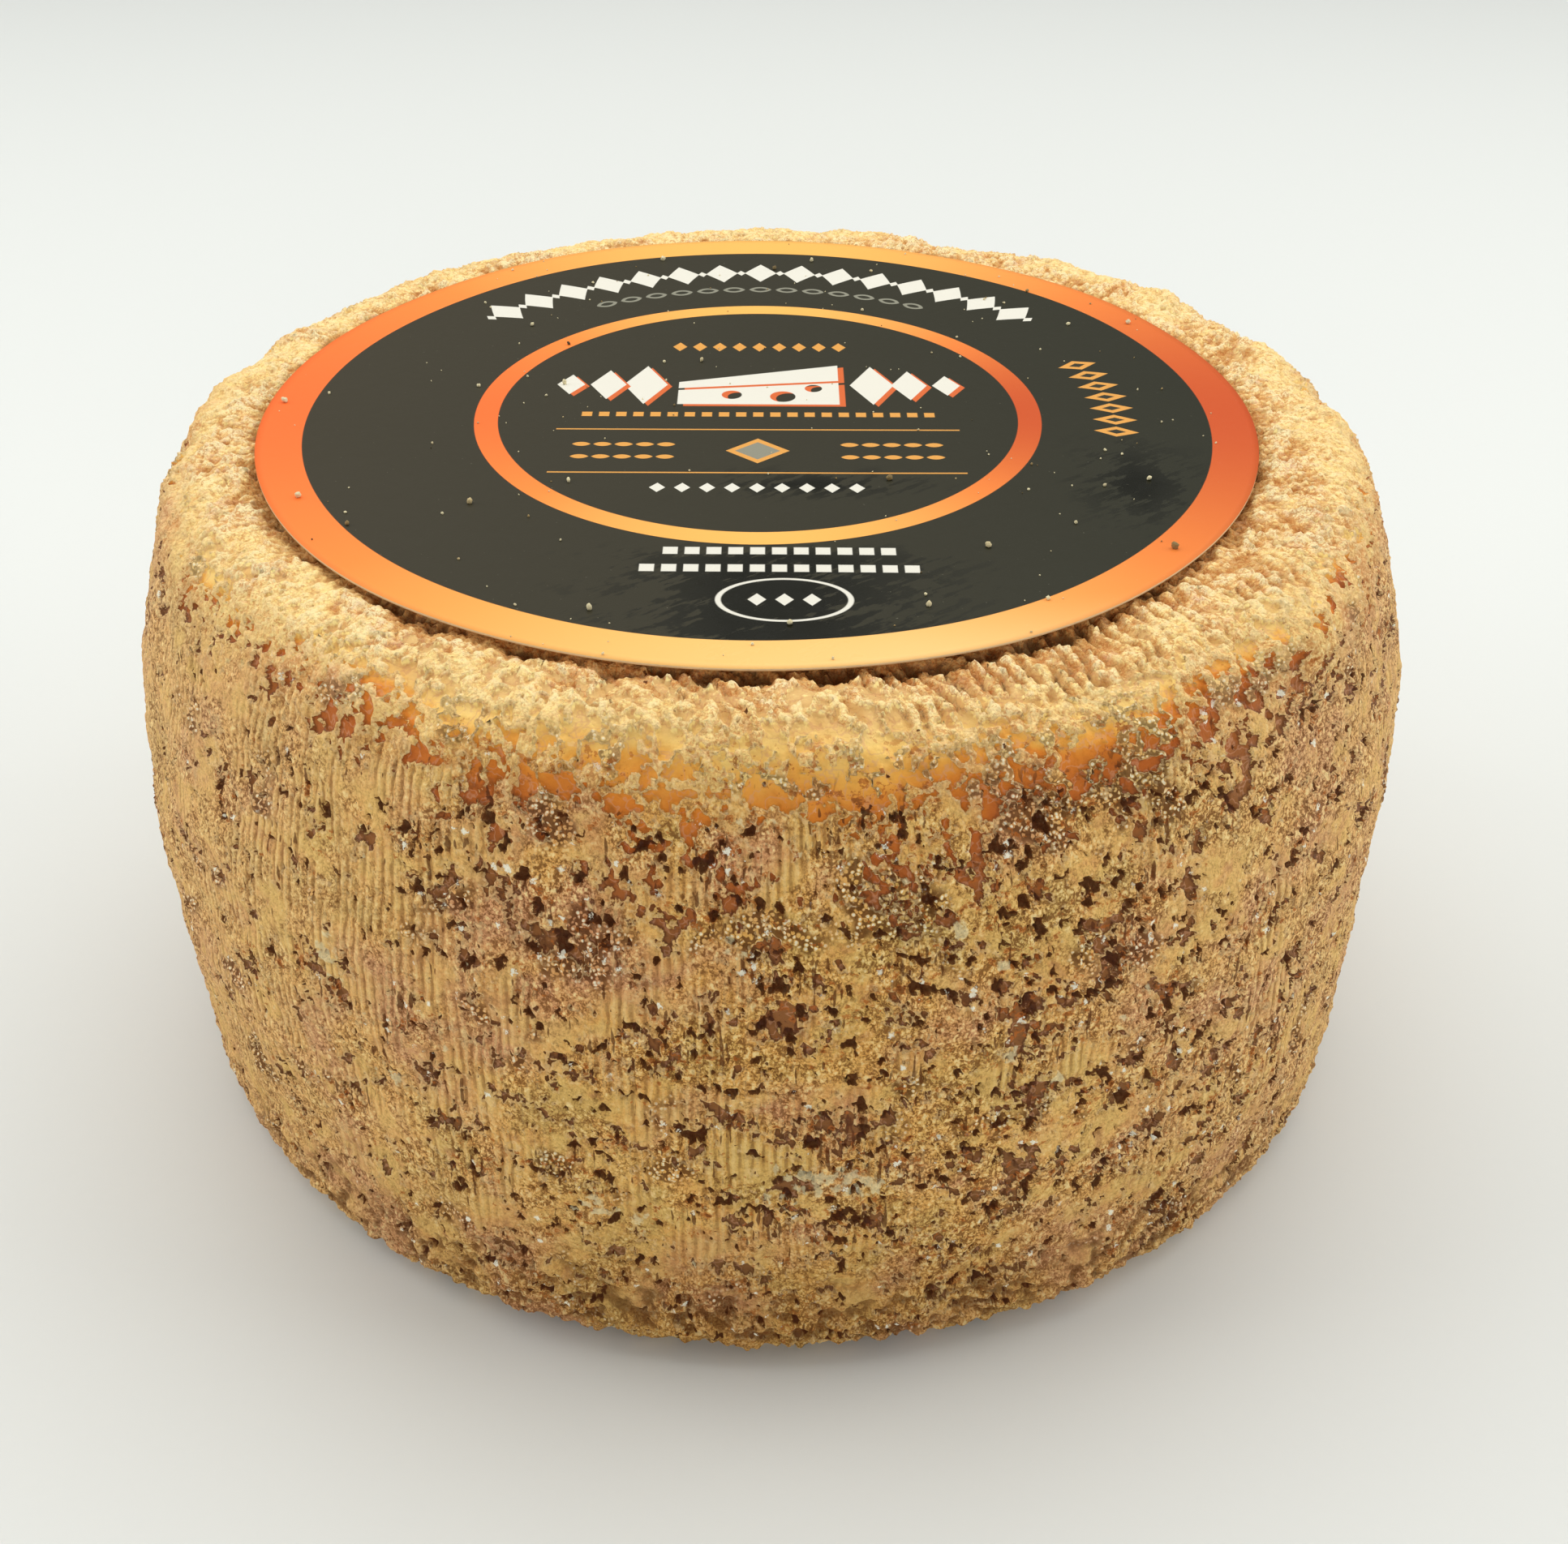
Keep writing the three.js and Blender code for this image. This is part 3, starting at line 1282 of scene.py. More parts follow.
    def _map_points(
        self, spot: RindSurface, faces: Sequence[np.ndarray], sheets: Sequence[np.ndarray]
    ) -> np.ndarray:
        """Lays the map: top and base as discs, and above them the side as two strips.

        Args:
            spot: The points of the smooth surface.
            faces: Arrays of faces.
            sheets: The part of the map that each face lies in.

        Returns:
            One point for each face corner.
        """
        margin = self.map_margin
        disc = spot.radius.max() * 0.92
        whole = max(4 * disc + 3 * margin, 2 * disc + 2 * self.map_strip + 4 * margin)
        parts = []
        for group, sheet in zip(faces, sheets):
            angle = spot.angle[group]
            wraps = angle < angle.max(axis=1, keepdims=True) - math.pi
            angle = np.where(wraps, angle + 2 * math.pi, angle)
            second = (angle.mean(axis=1) > math.pi)[:, None]
            across = (angle - np.where(second, math.pi, 0.0)) * self.shape.bulge_radius
            along = spot.reach[group] + 1.0
            lift = 2 * disc + 2 * margin + np.where(second, self.map_strip + margin, 0.0)
            side = np.stack([across + margin, along + lift], axis=-1)
            flat_x = spot.places[group][..., 0]
            flat_y = spot.places[group][..., 1]
            top = np.stack([flat_x + disc + margin, flat_y + disc + margin], axis=-1)
            base = np.stack([flat_x + 3 * disc + 2 * margin, flat_y + disc + margin], axis=-1)
            chosen = np.where((sheet == 1)[:, None, None], side, top)
            chosen = np.where((sheet == 2)[:, None, None], base, chosen)
            parts.append(chosen.reshape(-1, 2) / whole)
        return np.concatenate(parts)


@dataclass(frozen=True)
class RindFinish:
    """Dry granular crust over waxy skin, with pits, mould and crumbs."""

    rib_count: int
    crust_tan: Colour = tone(238, 178, 94)
    crust_gold: Colour = tone(240, 190, 104)
    crust_pink: Colour = tone(214, 148, 108)
    crust_olive: Colour = tone(206, 170, 92)
    crust_side_sheen: Colour = tone(234, 190, 136)
    plate_light: Colour = tone(238, 196, 114)
    plate_mauve: Colour = tone(182, 132, 92)
    top_cream_highlight: Colour = tone(255, 236, 182)
    top_gold: Colour = tone(254, 214, 134)
    dusty_pink: Colour = tone(230, 174, 142)
    wax: Colour = tone(255, 226, 146)
    grain_light: Colour = tone(255, 226, 158)
    grain_dark: Colour = tone(112, 62, 20)
    grain_amber: Colour = tone(214, 148, 84)
    crack_brown_and_shade: Colour = tone(92, 44, 10)
    granule_light: Colour = tone(255, 246, 212)
    rim_highlight: Colour = tone(250, 214, 154)
    gap_orange: Colour = tone(184, 102, 36)
    deep_shade_brown: Colour = tone(66, 28, 4)
    foot_shade_brown: Colour = tone(128, 88, 40)
    bloom_white: Colour = tone(255, 250, 226)
    bloom_cream: Colour = tone(238, 224, 176)
    vein: Colour = tone(214, 160, 122)
    skin: tuple[tuple[float, Colour], ...] = (
        (0.00, tone(252, 228, 152)),
        (0.06, tone(250, 212, 122)),
        (0.10, tone(240, 174, 74)),
        (0.14, tone(222, 134, 42)),
        (0.20, tone(190, 100, 34)),
        (0.30, tone(146, 92, 46)),
        (0.70, tone(132, 86, 44)),
        (1.00, tone(132, 88, 44)),
    )
    skin_reach: float = 100.0
    dust_size: float = 0.34
    speck_size: float = 0.9
    blotch_size: float = 3.2
    broad_size: float = 16.0
    granule_size: float = 0.6
    granule_seed: float = 5.0
    worm_size: float = 0.8
    vein_size: float = 2.2
    hole_size: float = 1.5
    slit_size: float = 0.8
    slit_upright: float = 7.0
    tuft_size: float = 1.6
    tuft_seed: float = 71.0
    grit_depth: float = 0.2
    shine: float = 0.18

    def build(self) -> bpy.types.Material:
        """Makes the rind's material.

        Returns:
            The material.
        """
        bench = Bench("crumbly_rind")
        dust = bench.clouds(self.dust_size, 3.0, 2.0)
        speck = bench.clouds(self.speck_size, 7.0, 2.0)
        blotch = bench.clouds(self.blotch_size, 11.0, 3.0)
        broad = bench.clouds(self.broad_size, 17.0, 2.0)
        grain = bench.cells(self.granule_size, self.granule_seed)
        on_top = bench.reading("on_top")
        edge = bench.reading("crust") + 0.7 * speck + 0.3 * dust
        crust = edge.ease(-0.04, 0.06)
        colour = self._crust_colour(bench, blotch, broad, speck, on_top)
        colour = self._grain(bench, colour, grain, dust, speck)
        colour = self._ribs(bench, colour)
        # Painted highlight: a pale band along each crust edge, where the crust stands above the
        # skin.
        rim = edge.ease(0.06, 0.2) * (1 - edge.ease(0.3, 0.7))
        colour = bench.blend(rim * 0.45, colour, self.rim_highlight)
        skin = self._skin_colour(bench, blotch, broad, edge)
        colour = bench.blend(crust, skin, colour)
        colour = self._gaps(bench, colour, dust, speck, on_top)
        veil = (bench.reading("bloom") + 1.2 * speck + 0.6 * dust).ease(-0.2, 0.8)
        colour = bench.blend(veil * 0.6, colour, self.bloom_cream)
        clustered = (broad * 2.0 + blotch + 0.3 * bench.reading("broken")).ease(0.0, 0.3)
        tufts = self._dots(bench, dust) * bench.reading("reach").ease(6.0, 12.0) * clustered
        colour = bench.blend(tufts * 0.9, colour, self.bloom_white)
        grit = dust * 0.6 + (0.5 - grain)
        return bench.finish(
            {
                "Base Color": colour,
                "Roughness": 0.55 + 0.35 * crust,
                "Specular IOR Level": self.shine,
                "Normal": bench.bump(grit * (0.25 + crust) + 0.5 * speck, self.grit_depth),
            }
        )

    def _crust_colour(
        self, bench: Bench, blotch: Wire, broad: Wire, speck: Wire, on_top: Wire
    ) -> Wire:
        """Colours the crust tan in slightly different hues, paler round the sides as painted light,
        and cream on the top face, lighter on the crumbs' tops as painted highlight.

        Args:
            bench: The rind's material.
            blotch: Blotches.
            broad: Broad patches.
            speck: Specks.
            on_top: 1 on the top face.

        Returns:
            The crust's colour.
        """
        side = bench.blend((blotch * 1.8 + 0.5).clamp(), self.crust_tan, self.crust_gold)
        side = bench.blend((broad * 2.6 + blotch + 0.1).clamp() * 0.8, side, self.crust_pink)
        side = bench.blend((broad * -2.6 + blotch - 0.1).clamp() * 0.8, side, self.crust_olive)
        # Painted light: the crust is paler round the sides and back than in front, like a sheen.
        side = bench.blend(bench.reading("paler") * 0.6, side, self.crust_side_sheen)
        plate = bench.reading("plate")
        side = bench.blend(plate * (blotch * 3.0 + 0.5).clamp() * 0.6, side, self.plate_light)
        side = bench.blend(plate * (blotch * -3.0 - 0.3).clamp() * 0.6, side, self.plate_mauve)
        # The top's crumbs are pale gold to cream; the cream on their highest parts is painted
        # highlight.
        crest_highlight = (0.5 * speck + blotch * 0.6 - bench.reading("hollow")).ease(-0.5, 0.4)
        top = bench.blend(crest_highlight, self.top_gold, self.top_cream_highlight)
        top = bench.blend((speck * 1.2 + blotch * -1.5 - 0.05).clamp() * 0.8, top, self.dusty_pink)
        colour = bench.blend(on_top, side, top)
        return bench.blend(bench.reading("waxy") * (0.8 - 0.5 * crest_highlight), colour, self.wax)

    def _grain(self, bench: Bench, colour: Wire, grain: Wire, dust: Wire, speck: Wire) -> Wire:
        """Adds light grains with dark gaps, strongest where the crust crumbles; the tops of grains
        are lighter as painted light and the gaps darker as painted shade.

        Args:
            bench: The rind's material.
            colour: The colour so far.
            grain: Distance from a granule's middle.
            dust: Finest specks.
            speck: Specks.

        Returns:
            The new colour.
        """
        crumbly = bench.reading("crumbly")
        calm = (1 - 0.35 * bench.reading("waxy")) * (0.85 + 0.5 * bench.reading("broken"))
        calm = calm * (1.1 - 0.65 * bench.reading("plate"))
        worm = abs(bench.clouds(self.worm_size, 67.0, 3.0, 1.3)) * 3.0 - 0.55
        # The grain-height term paints the tops of grains lighter and the ground between them
        # darker: painted light and shade.
        shade = worm + speck * 0.9 + dust * 0.9 + (bench.reading("grain_height") - 0.42) * 0.5
        shade = shade * calm * (1 - crumbly) * (1 - 0.4 * bench.reading("ribs"))
        low = bench.reading("reach").ease(7.0, 17.0)
        dark = bench.blend(low, self.grain_amber, self.grain_dark)
        colour = bench.blend((shade * -1.7 - 0.05).clamp() * 0.8, colour, dark)
        colour = bench.blend((shade * 1.6 - 0.12).clamp() * 0.85, colour, self.grain_light)
        # Painted shade in the gaps between crumbling grains.
        gap = (grain + 0.3 * speck).ease(0.40, 0.55) * crumbly * (0.55 + 0.3 * low)
        colour = bench.blend(gap, colour, self.crack_brown_and_shade)
        tint = bench.cells(self.granule_size, self.granule_seed, "Color")
        pick, _, _ = bench.split(tint)
        bright = (1 - grain.ease(0.22, 0.42)) * pick.ease(0.25, 0.55) * crumbly
        return bench.blend(bright * 0.9, colour, self.granule_light)

    def _ribs(self, bench: Bench, colour: Wire) -> Wire:
        """Adds thin dark lines along the grooves that the cheese mould left, as painted shade, with
        light lines between them as painted highlight.

        Args:
            bench: The rind's material.
            colour: The colour so far.

        Returns:
            The new colour.
        """
        x, y, _ = bench.split(bench.place())
        turns = bench.math("ARCTAN2", y, x) * float(self.rib_count) + bench.reading("rib_wander")
        wave = bench.math("COSINE", turns + 2.2 * bench.clouds(1.6, 63.0, 2.0, 2.0))
        shown = bench.reading("ribs") * (bench.clouds(1.4, 65.0, 2.0, 3.0) + 0.3).ease(-0.2, 0.3)
        # Painted shade in the grooves, painted highlight on the ridges between them.
        colour = bench.blend(wave.ease(0.2, 1.0) * shown * 0.5, colour, self.grain_dark)
        return bench.blend((wave * -1).ease(0.3, 1.0) * shown * 0.3, colour, self.grain_light)

    def _skin_colour(self, bench: Bench, blotch: Wire, broad: Wire, edge: Wire) -> Wire:
        """Colours the waxy skin: pale yellow at the shoulder, orange, then brown down the side,
        with painted shade next to the crust's edges.

        Args:
            bench: The rind's material.
            blotch: Blotches.
            broad: Broad patches.
            edge: How firmly the crust holds.

        Returns:
            The skin's colour.
        """
        down = bench.reading("reach") / self.skin_reach + broad * 0.05 + blotch * 0.03
        down = down + 0.2 * bench.reading("paler") * down.ease(0.04, 0.12)
        colour = bench.ramp(down.clamp(), self.skin)
        line = 1 - abs(bench.clouds(self.vein_size, 23.0, 2.0)) * 14
        colour = bench.blend(line.clamp() * 0.5, colour, self.vein)
        # Painted shadow: the bare skin goes darker next to the crust's edge, where the crust would
        # shade it.
        shade_beside_crust = edge.ease(-0.75, -0.05) * down.ease(0.05, 0.3)
        return bench.blend(shade_beside_crust * 0.6, colour, self.deep_shade_brown)

    def _gaps(self, bench: Bench, colour: Wire, dust: Wire, speck: Wire, on_top: Wire) -> Wire:
        """Adds ragged pits, small holes and slits, and orange gaps between the top's crumbs, with
        painted shade in the holes, hollows and pits.

        Args:
            bench: The rind's material.
            colour: The colour so far.
            dust: Finest specks.
            speck: Specks.
            on_top: 1 on the top face.

        Returns:
            The new colour.
        """
        crowd = 0.24 * bench.reading("broken") - 0.12
        below = bench.reading("reach").ease(7.0, 15.0)
        hole = bench.clouds(self.hole_size, 51.0, 4.0, 0.8) + crowd
        small = (hole + 0.25 * dust).ease(0.26, 0.33) * (1 - on_top)
        colour = bench.blend(small * 0.75, colour, self.gap_orange)
        # The holes' dark cores and the slits: brown of the bared rind, and painted shade in them.
        colour = bench.blend(hole.ease(0.36, 0.5) * below * 0.7, colour, self.crack_brown_and_shade)
        slit = bench.clouds(self.slit_size, 57.0, 1.0, self.slit_upright)
        slit = slit + 0.12 * bench.reading("ribs")
        slit = (slit + crowd).ease(0.40, 0.50) * below
        colour = bench.blend(slit * 0.8, colour, self.crack_brown_and_shade)
        hollow = bench.reading("hollow") + 0.5 * speck + 0.3 * dust
        colour = bench.blend(hollow.ease(0.1, 0.5) * on_top * 0.5, colour, self.gap_orange)
        foot = bench.reading("on_foot")
        # Painted shade in hollows: round the foot, and in the deepest hollows anywhere, such as
        # under the label's edge.
        colour = bench.blend(hollow.ease(0.0, 0.4) * foot * 0.7, colour, self.crack_brown_and_shade)
        colour = bench.blend(hollow.ease(1.0, 1.7) * 0.6, colour, self.deep_shade_brown)
        colour = self._painted_foot_shade(bench, colour)
        pit = bench.reading("pit") + 0.8 * speck + 0.3 * dust
        # Pits: brown of the bared rind, darkening towards their depth as painted shade.
        colour = bench.blend(pit.ease(-0.04, 0.05) * 0.9, colour, self.crack_brown_and_shade)
        return bench.blend(pit.ease(0.15, 0.6) * 0.6, colour, self.deep_shade_brown)

    def _dots(self, bench: Bench, dust: Wire) -> Wire:
        """Places small white tufts of mould, most of them where the crust is broken.

        Args:
            bench: The rind's material.
            dust: Finest specks.

        Returns:
            Where the tufts are, 0 to 1.
        """
        pick, share, _ = bench.split(bench.cells(self.tuft_size, self.tuft_seed, "Color"))
        across = bench.cells(self.tuft_size, self.tuft_seed) + 0.45 * dust + 0.16 * share
        likely = pick + 0.2 * bench.reading("broken") + 0.12 * bench.reading("crumbly")
        return (1 - across.ease(0.26, 0.36)) * likely.ease(0.99, 1.0)

    def _painted_foot_shade(self, bench: Bench, colour: Wire) -> Wire:
        """Deeper colour towards the foot of the front: painted shade."""
        low = bench.reading("reach").ease(66.0, 98.0) * (1 - bench.reading("paler"))
        return bench.blend(low * 0.35, colour, self.foot_shade_brown)


# ---- The paper label ----


@dataclass
class PaperLabel:
    """Round printed paper label that lies on the top face, a little wavy at its rim."""

    centre: tuple[float, float]
    radius: float
    underside: float
    thickness: float
    columns: int = 384
    rings: int = 60
    waviness: float = 0.16
    waves: tuple[tuple[int, float, float], ...] = ((3, 1.0, 0.8), (5, 0.7, 2.3), (9, 0.4, 0.0))
    printed_groups: tuple[int, int] = (0, 3)
    face_on_map: tuple[float, float] = (0.44, 0.45)
    back_on_map: tuple[float, float] = (0.045, 0.94)

    @classmethod
    def from_frame(cls, node: str) -> "PaperLabel":
        """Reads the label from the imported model.

        Args:
            node: The label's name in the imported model.

        Returns:
            The label, at that node's place and size.
        """
        low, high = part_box(node)
        middle = ((low[0] + high[0]) / 2 / MM, (low[1] + high[1]) / 2 / MM)
        radius = (high[0] - low[0]) / 2 / MM
        return cls(middle, radius, low[2] / MM, (high[2] - low[2]) / MM)

    def lift(self, across: np.ndarray, along: np.ndarray) -> np.ndarray:
        """Bends the paper up a little, most at its rim.

        Args:
            across: Places to the right of the label's middle.
            along: Places behind the label's middle.

        Returns:
            How far the paper stands up from flat, in millimetres.
        """
        share = np.hypot(across, along) / self.radius
        angle = np.arctan2(along, across)
        wave = sum(tall * np.cos(lobes * angle + turn) for lobes, tall, turn in self.waves)
        return self.waviness * (1.0 + wave) * np.clip(share, 0.0, 1.0) ** 3

    def build(self) -> bpy.types.Object:
        """Makes the label.

        Returns:
            The piece.
        """
        share = np.linspace(0.0, 1.0, self.rings + 1)[1:]
        angle = np.arange(self.columns) * 2 * np.pi / self.columns
        across = np.concatenate([[0.0], np.outer(share, np.cos(angle)).ravel()]) * self.radius
        along = np.concatenate([[0.0], np.outer(share, np.sin(angle)).ravel()]) * self.radius
        lift = self.lift(across, along)
        flat = np.column_stack([across + self.centre[0], along + self.centre[1]])
        upper = np.column_stack([flat, self.underside + self.thickness + lift])
        lower = np.column_stack([flat, self.underside + lift])
        points = np.concatenate([upper, lower])
        quads, tris = self._sheet_faces()
        count = len(upper)
        rim = 1 + (self.rings - 1) * self.columns + np.arange(self.columns)
        rim_after = np.roll(rim, -1)
        edge = np.column_stack([rim, rim + count, rim_after + count, rim_after])
        groups = [quads, quads[:, ::-1] + count, edge, tris, tris[:, ::-1] + count]
        piece = make_piece("paper_label", points, groups)
        piece.data.materials.append(PrintedFace(self.centre, self.radius).build())
        piece.data.materials.append(BarePaper().build())
        bare = [
            np.full(len(group), number not in self.printed_groups)
            for number, group in enumerate(groups)
        ]
        piece.data.polygons.foreach_set("material_index", np.concatenate(bare).astype(np.int32))
        self._lay_map(piece, points, groups)
        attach(piece, "root")
        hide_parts("label")
        return piece

    def _sheet_faces(self) -> tuple[np.ndarray, np.ndarray]:
        """Makes the faces of one side of the paper.

        Returns:
            Rings of four-cornered faces, and the fan of three-cornered faces in the middle.
        """
        here = np.arange(self.columns)
        after = (here + 1) % self.columns
        quads = []
        for ring in range(self.rings - 1):
            inner = 1 + ring * self.columns
            outer = inner + self.columns
            quads.append(
                np.column_stack([inner + here, outer + here, outer + after, inner + after])
            )
        tris = np.column_stack([np.zeros(self.columns, int), 1 + here, 1 + after])
        return np.concatenate(quads), tris

    def _lay_map(
        self, piece: bpy.types.Object, points: np.ndarray, groups: Sequence[np.ndarray]
    ) -> None:
        """Lays the map: the printed face fills most of it, the back and rim a corner.

        Args:
            piece: The label.
            points: Its points.
            groups: Its faces, group by group.
        """
        flat = (points[:, :2] - self.centre) / self.radius
        parts = []
        for number, group in enumerate(groups):
            printed = number in self.printed_groups
            scale, middle = self.face_on_map if printed else self.back_on_map
            parts.append((flat[group] * scale + middle).reshape(-1, 2))
        lay_map(piece, np.concatenate(parts))


class Ink(Enum):
    """Inks of the printed face."""

    WHITE = tone(226, 222, 206)
    GREY = tone(140, 138, 120)
    DARK = tone(54, 52, 38)
    GOLD = tone(222, 158, 76)
    ORANGE = tone(214, 104, 52)


class Figure(Enum):
    """Plain shapes that the ornaments are made of."""

    BAR = "bar"
    LOZENGE = "lozenge"
    LEAF = "leaf"


@dataclass(frozen=True)
class Stamp:
    """One printed shape.

    Attributes:
        figure: Its outline.
        wide: Its width, in millimetres.
        tall: Its height, in millimetres.
        ink: Its colour.
    """

    figure: Figure
    wide: float
    tall: float
    ink: Ink


@dataclass(frozen=True)
class Garland:
    """Equal shapes along an arc round the label's middle.

    Attributes:
        radius: Radius of the arc.
        turn: Degrees from the back to the arc's middle, clockwise.
        pitch: Step from one shape to the next.
        count: How many shapes there are.
        stamp: The shape.
    """

    radius: float
    turn: float
    pitch: float
    count: int
    stamp: Stamp


@dataclass(frozen=True)
class Row:
    """Equal shapes in a straight row.

    Attributes:
        across: Middle of the row, to the right of the label's middle.
        along: How far the row lies behind the label's middle.
        pitch: Step from one shape to the next.
        count: How many shapes there are.
        stamp: The shape.
    """

    across: float
    along: float
    pitch: float
    count: int
    stamp: Stamp


@dataclass(frozen=True)
class BarePaper:
    """Unprinted paper of the label's back and cut edge."""

    paper: Colour = tone(224, 196, 150)
    fibre: Colour = tone(176, 146, 104)

    def build(self) -> bpy.types.Material:
        """Makes the bare paper's material.

        Returns:
            The material.
        """
        bench = Bench("label_back")
        fibres = bench.clouds(0.4, 2.0, 2.0)
        colour = bench.blend((fibres * 0.6 + 0.4).clamp() * 0.3, self.paper, self.fibre)
        normal = bench.bump(fibres, 0.03)
        return bench.finish({"Base Color": colour, "Roughness": 0.8, "Normal": normal})


@dataclass
class PrintedFace:
    """The printed side: gold bands round a dark field, with plain ornaments.

    Lengths are in millimetres from the label's middle, with across to the right and along to
    the back.
    """

    centre: tuple[float, float]
    radius: float
    field_radius: float = 65.5
    ring_outer: float = 41.3
    ring_inner: float = 37.9
    softness: float = 0.12
    shine: float = 0.12
    grain_depth: float = 0.012
    dark_left_sheen: Colour = tone(60, 55, 40)
    dark_right: Colour = tone(42, 42, 28)
    smudge_dark: Colour = tone(22, 22, 12)
    dust_pale: Colour = tone(214, 208, 180)
    gold: Colour = tone(248, 184, 92)
    gold_gleam: Colour = tone(252, 214, 146)
    orange_left: tuple[Colour, Colour] = (tone(246, 114, 52), tone(250, 140, 62))
    orange_right: tuple[Colour, Colour] = (tone(200, 84, 38), tone(238, 134, 60))
    garlands: tuple[Garland, ...] = (
        Garland(56.2, 0.0, 6.6, 15, Stamp(Figure.LOZENGE, 5.4, 8.0, Ink.WHITE)),
        Garland(56.2, 0.0, 6.6, 16, Stamp(Figure.LOZENGE, 1.5, 2.2, Ink.WHITE)),
        Garland(48.6, 0.0, 4.4, 13, Stamp(Figure.LEAF, 3.7, 2.3, Ink.GREY)),
        Garland(48.6, 0.0, 4.4, 13, Stamp(Figure.LEAF, 2.3, 1.2, Ink.DARK)),
        Garland(52.0, 84.0, 4.1, 7, Stamp(Figure.LOZENGE, 3.4, 6.4, Ink.GOLD)),
        Garland(52.0, 84.0, 4.1, 7, Stamp(Figure.LOZENGE, 1.5, 2.8, Ink.DARK)),
    )
    rows: tuple[Row, ...] = (
        Row(0.0, 24.0, 3.1, 9, Stamp(Figure.LOZENGE, 2.2, 3.4, Ink.GOLD)),
        Row(0.0, -1.2, 2.5, 21, Stamp(Figure.BAR, 1.5, 1.5, Ink.GOLD)),
        Row(0.0, -6.4, 60.0, 1, Stamp(Figure.BAR, 58.0, 0.35, Ink.GOLD)),
        Row(0.0, -20.4, 60.0, 1, Stamp(Figure.BAR, 58.0, 0.35, Ink.GOLD)),
        Row(0.0, -13.4, 10.0, 1, Stamp(Figure.LOZENGE, 9.0, 8.0, Ink.GOLD)),
        Row(0.0, -13.4, 10.0, 1, Stamp(Figure.LOZENGE, 6.4, 5.6, Ink.GREY)),
        Row(-19.0, -11.4, 3.0, 5, Stamp(Figure.LEAF, 2.6, 1.3, Ink.GOLD)),
        Row(-19.0, -15.4, 3.0, 5, Stamp(Figure.LEAF, 2.6, 1.3, Ink.GOLD)),
        Row(19.0, -11.4, 3.0, 5, Stamp(Figure.LEAF, 2.6, 1.3, Ink.GOLD)),
        Row(19.0, -15.4, 3.0, 5, Stamp(Figure.LEAF, 2.6, 1.3, Ink.GOLD)),
        Row(0.0, -25.0, 3.4, 9, Stamp(Figure.LOZENGE, 2.2, 2.8, Ink.WHITE)),
        Row(3.0, -43.0, 2.8, 11, Stamp(Figure.BAR, 1.9, 1.9, Ink.WHITE)),
        Row(3.0, -47.6, 2.8, 13, Stamp(Figure.BAR, 1.9, 1.9, Ink.WHITE)),
        Row(3.6, -55.6, 3.4, 3, Stamp(Figure.LOZENGE, 2.3, 3.0, Ink.WHITE)),
    )
    wedge_along: float = 9.4
    wedge_holes: tuple[tuple[float, float, float], ...] = (
        (-4.0, -3.6, 1.5),
        (3.6, -4.2, 1.9),
        (8.2, -1.2, 1.3),
    )
    wedge_shadow: tuple[float, float] = (0.9, -0.7)
    lozenge_shadow: tuple[float, float] = (0.7, -0.7)
    oval_middle: tuple[float, float] = (3.6, -55.6)
    oval_half_wide: float = 8.2
    oval_half_tall: float = 5.2
    oval_line: float = 0.22
    bench: Bench = field(init=False)
    across: Wire = field(init=False)
    along: Wire = field(init=False)
    distance: Wire = field(init=False)
    bearing: Wire = field(init=False)

    def __post_init__(self) -> None:
        """Sets up the coordinates that every ornament is drawn in."""
        self.bench = Bench("printed_label")
        x, y, _ = self.bench.split(self.bench.place())
        self.across = x / MM - self.centre[0]
        self.along = y / MM - self.centre[1]
        squares = self.across * self.across + self.along * self.along
        self.distance = self.bench.math("SQRT", squares)
        self.bearing = self.bench.math("ARCTAN2", self.across, self.along)

    def inside(self, outside_by: Operand) -> Wire:
        """1 where a shape's distance is below 0, with a soft edge."""
        return (0.5 - outside_by / self.softness).clamp()

    def band(self, inner: float, outer: float) -> Wire:
        """A ring between two radii."""
        middle, half = (inner + outer) / 2, (outer - inner) / 2
        return self.inside(abs(self.distance - middle) - half)

    def box(self, x: Operand, y: Operand, wide: float, tall: float) -> Wire:
        """A plain bar about x = y = 0."""
        outside = self.bench.largest(abs(x) - wide / 2, abs(y) - tall / 2)
        return self.inside(outside)

    def lozenge(self, x: Operand, y: Operand, wide: float, tall: float) -> Wire:
        """A lozenge about x = y = 0."""
        reach = abs(x) * (2 / wide) + abs(y) * (2 / tall) - 1
        return self.inside(reach * (min(wide, tall) / 2))

    def leaf(self, x: Operand, y: Operand, wide: float, tall: float) -> Wire:
        """Draws a pointed leaf, longest along x.

        Args:
            x: Distance along the leaf.
            y: Distance across it.
            wide: Its length.
            tall: Its width.

        Returns:
            1 inside the leaf.
        """
        bend = (wide * wide / 4 - tall * tall / 4) / tall
        size = bend + tall / 2
        squares = x * x + (abs(y) + bend) ** 2.0
        return self.inside(self.bench.math("SQRT", squares) - size)

    def row(self, x: Operand, pitch: float, count: int) -> tuple[Wire, Wire]:
        """Repeats x in a row of equal steps.

        Args:
            x: Distance along the row from its middle.
            pitch: Length of a step.
            count: Number of steps.

        Returns:
            x within a step, and whether the row is there.
        """
        shift = 0.5 if count % 2 else 0.0
        steps = x / pitch + shift
        within = (steps - self.bench.math("FLOOR", steps) - 0.5) * pitch
        return within, self.inside(abs(x) - pitch * count / 2)

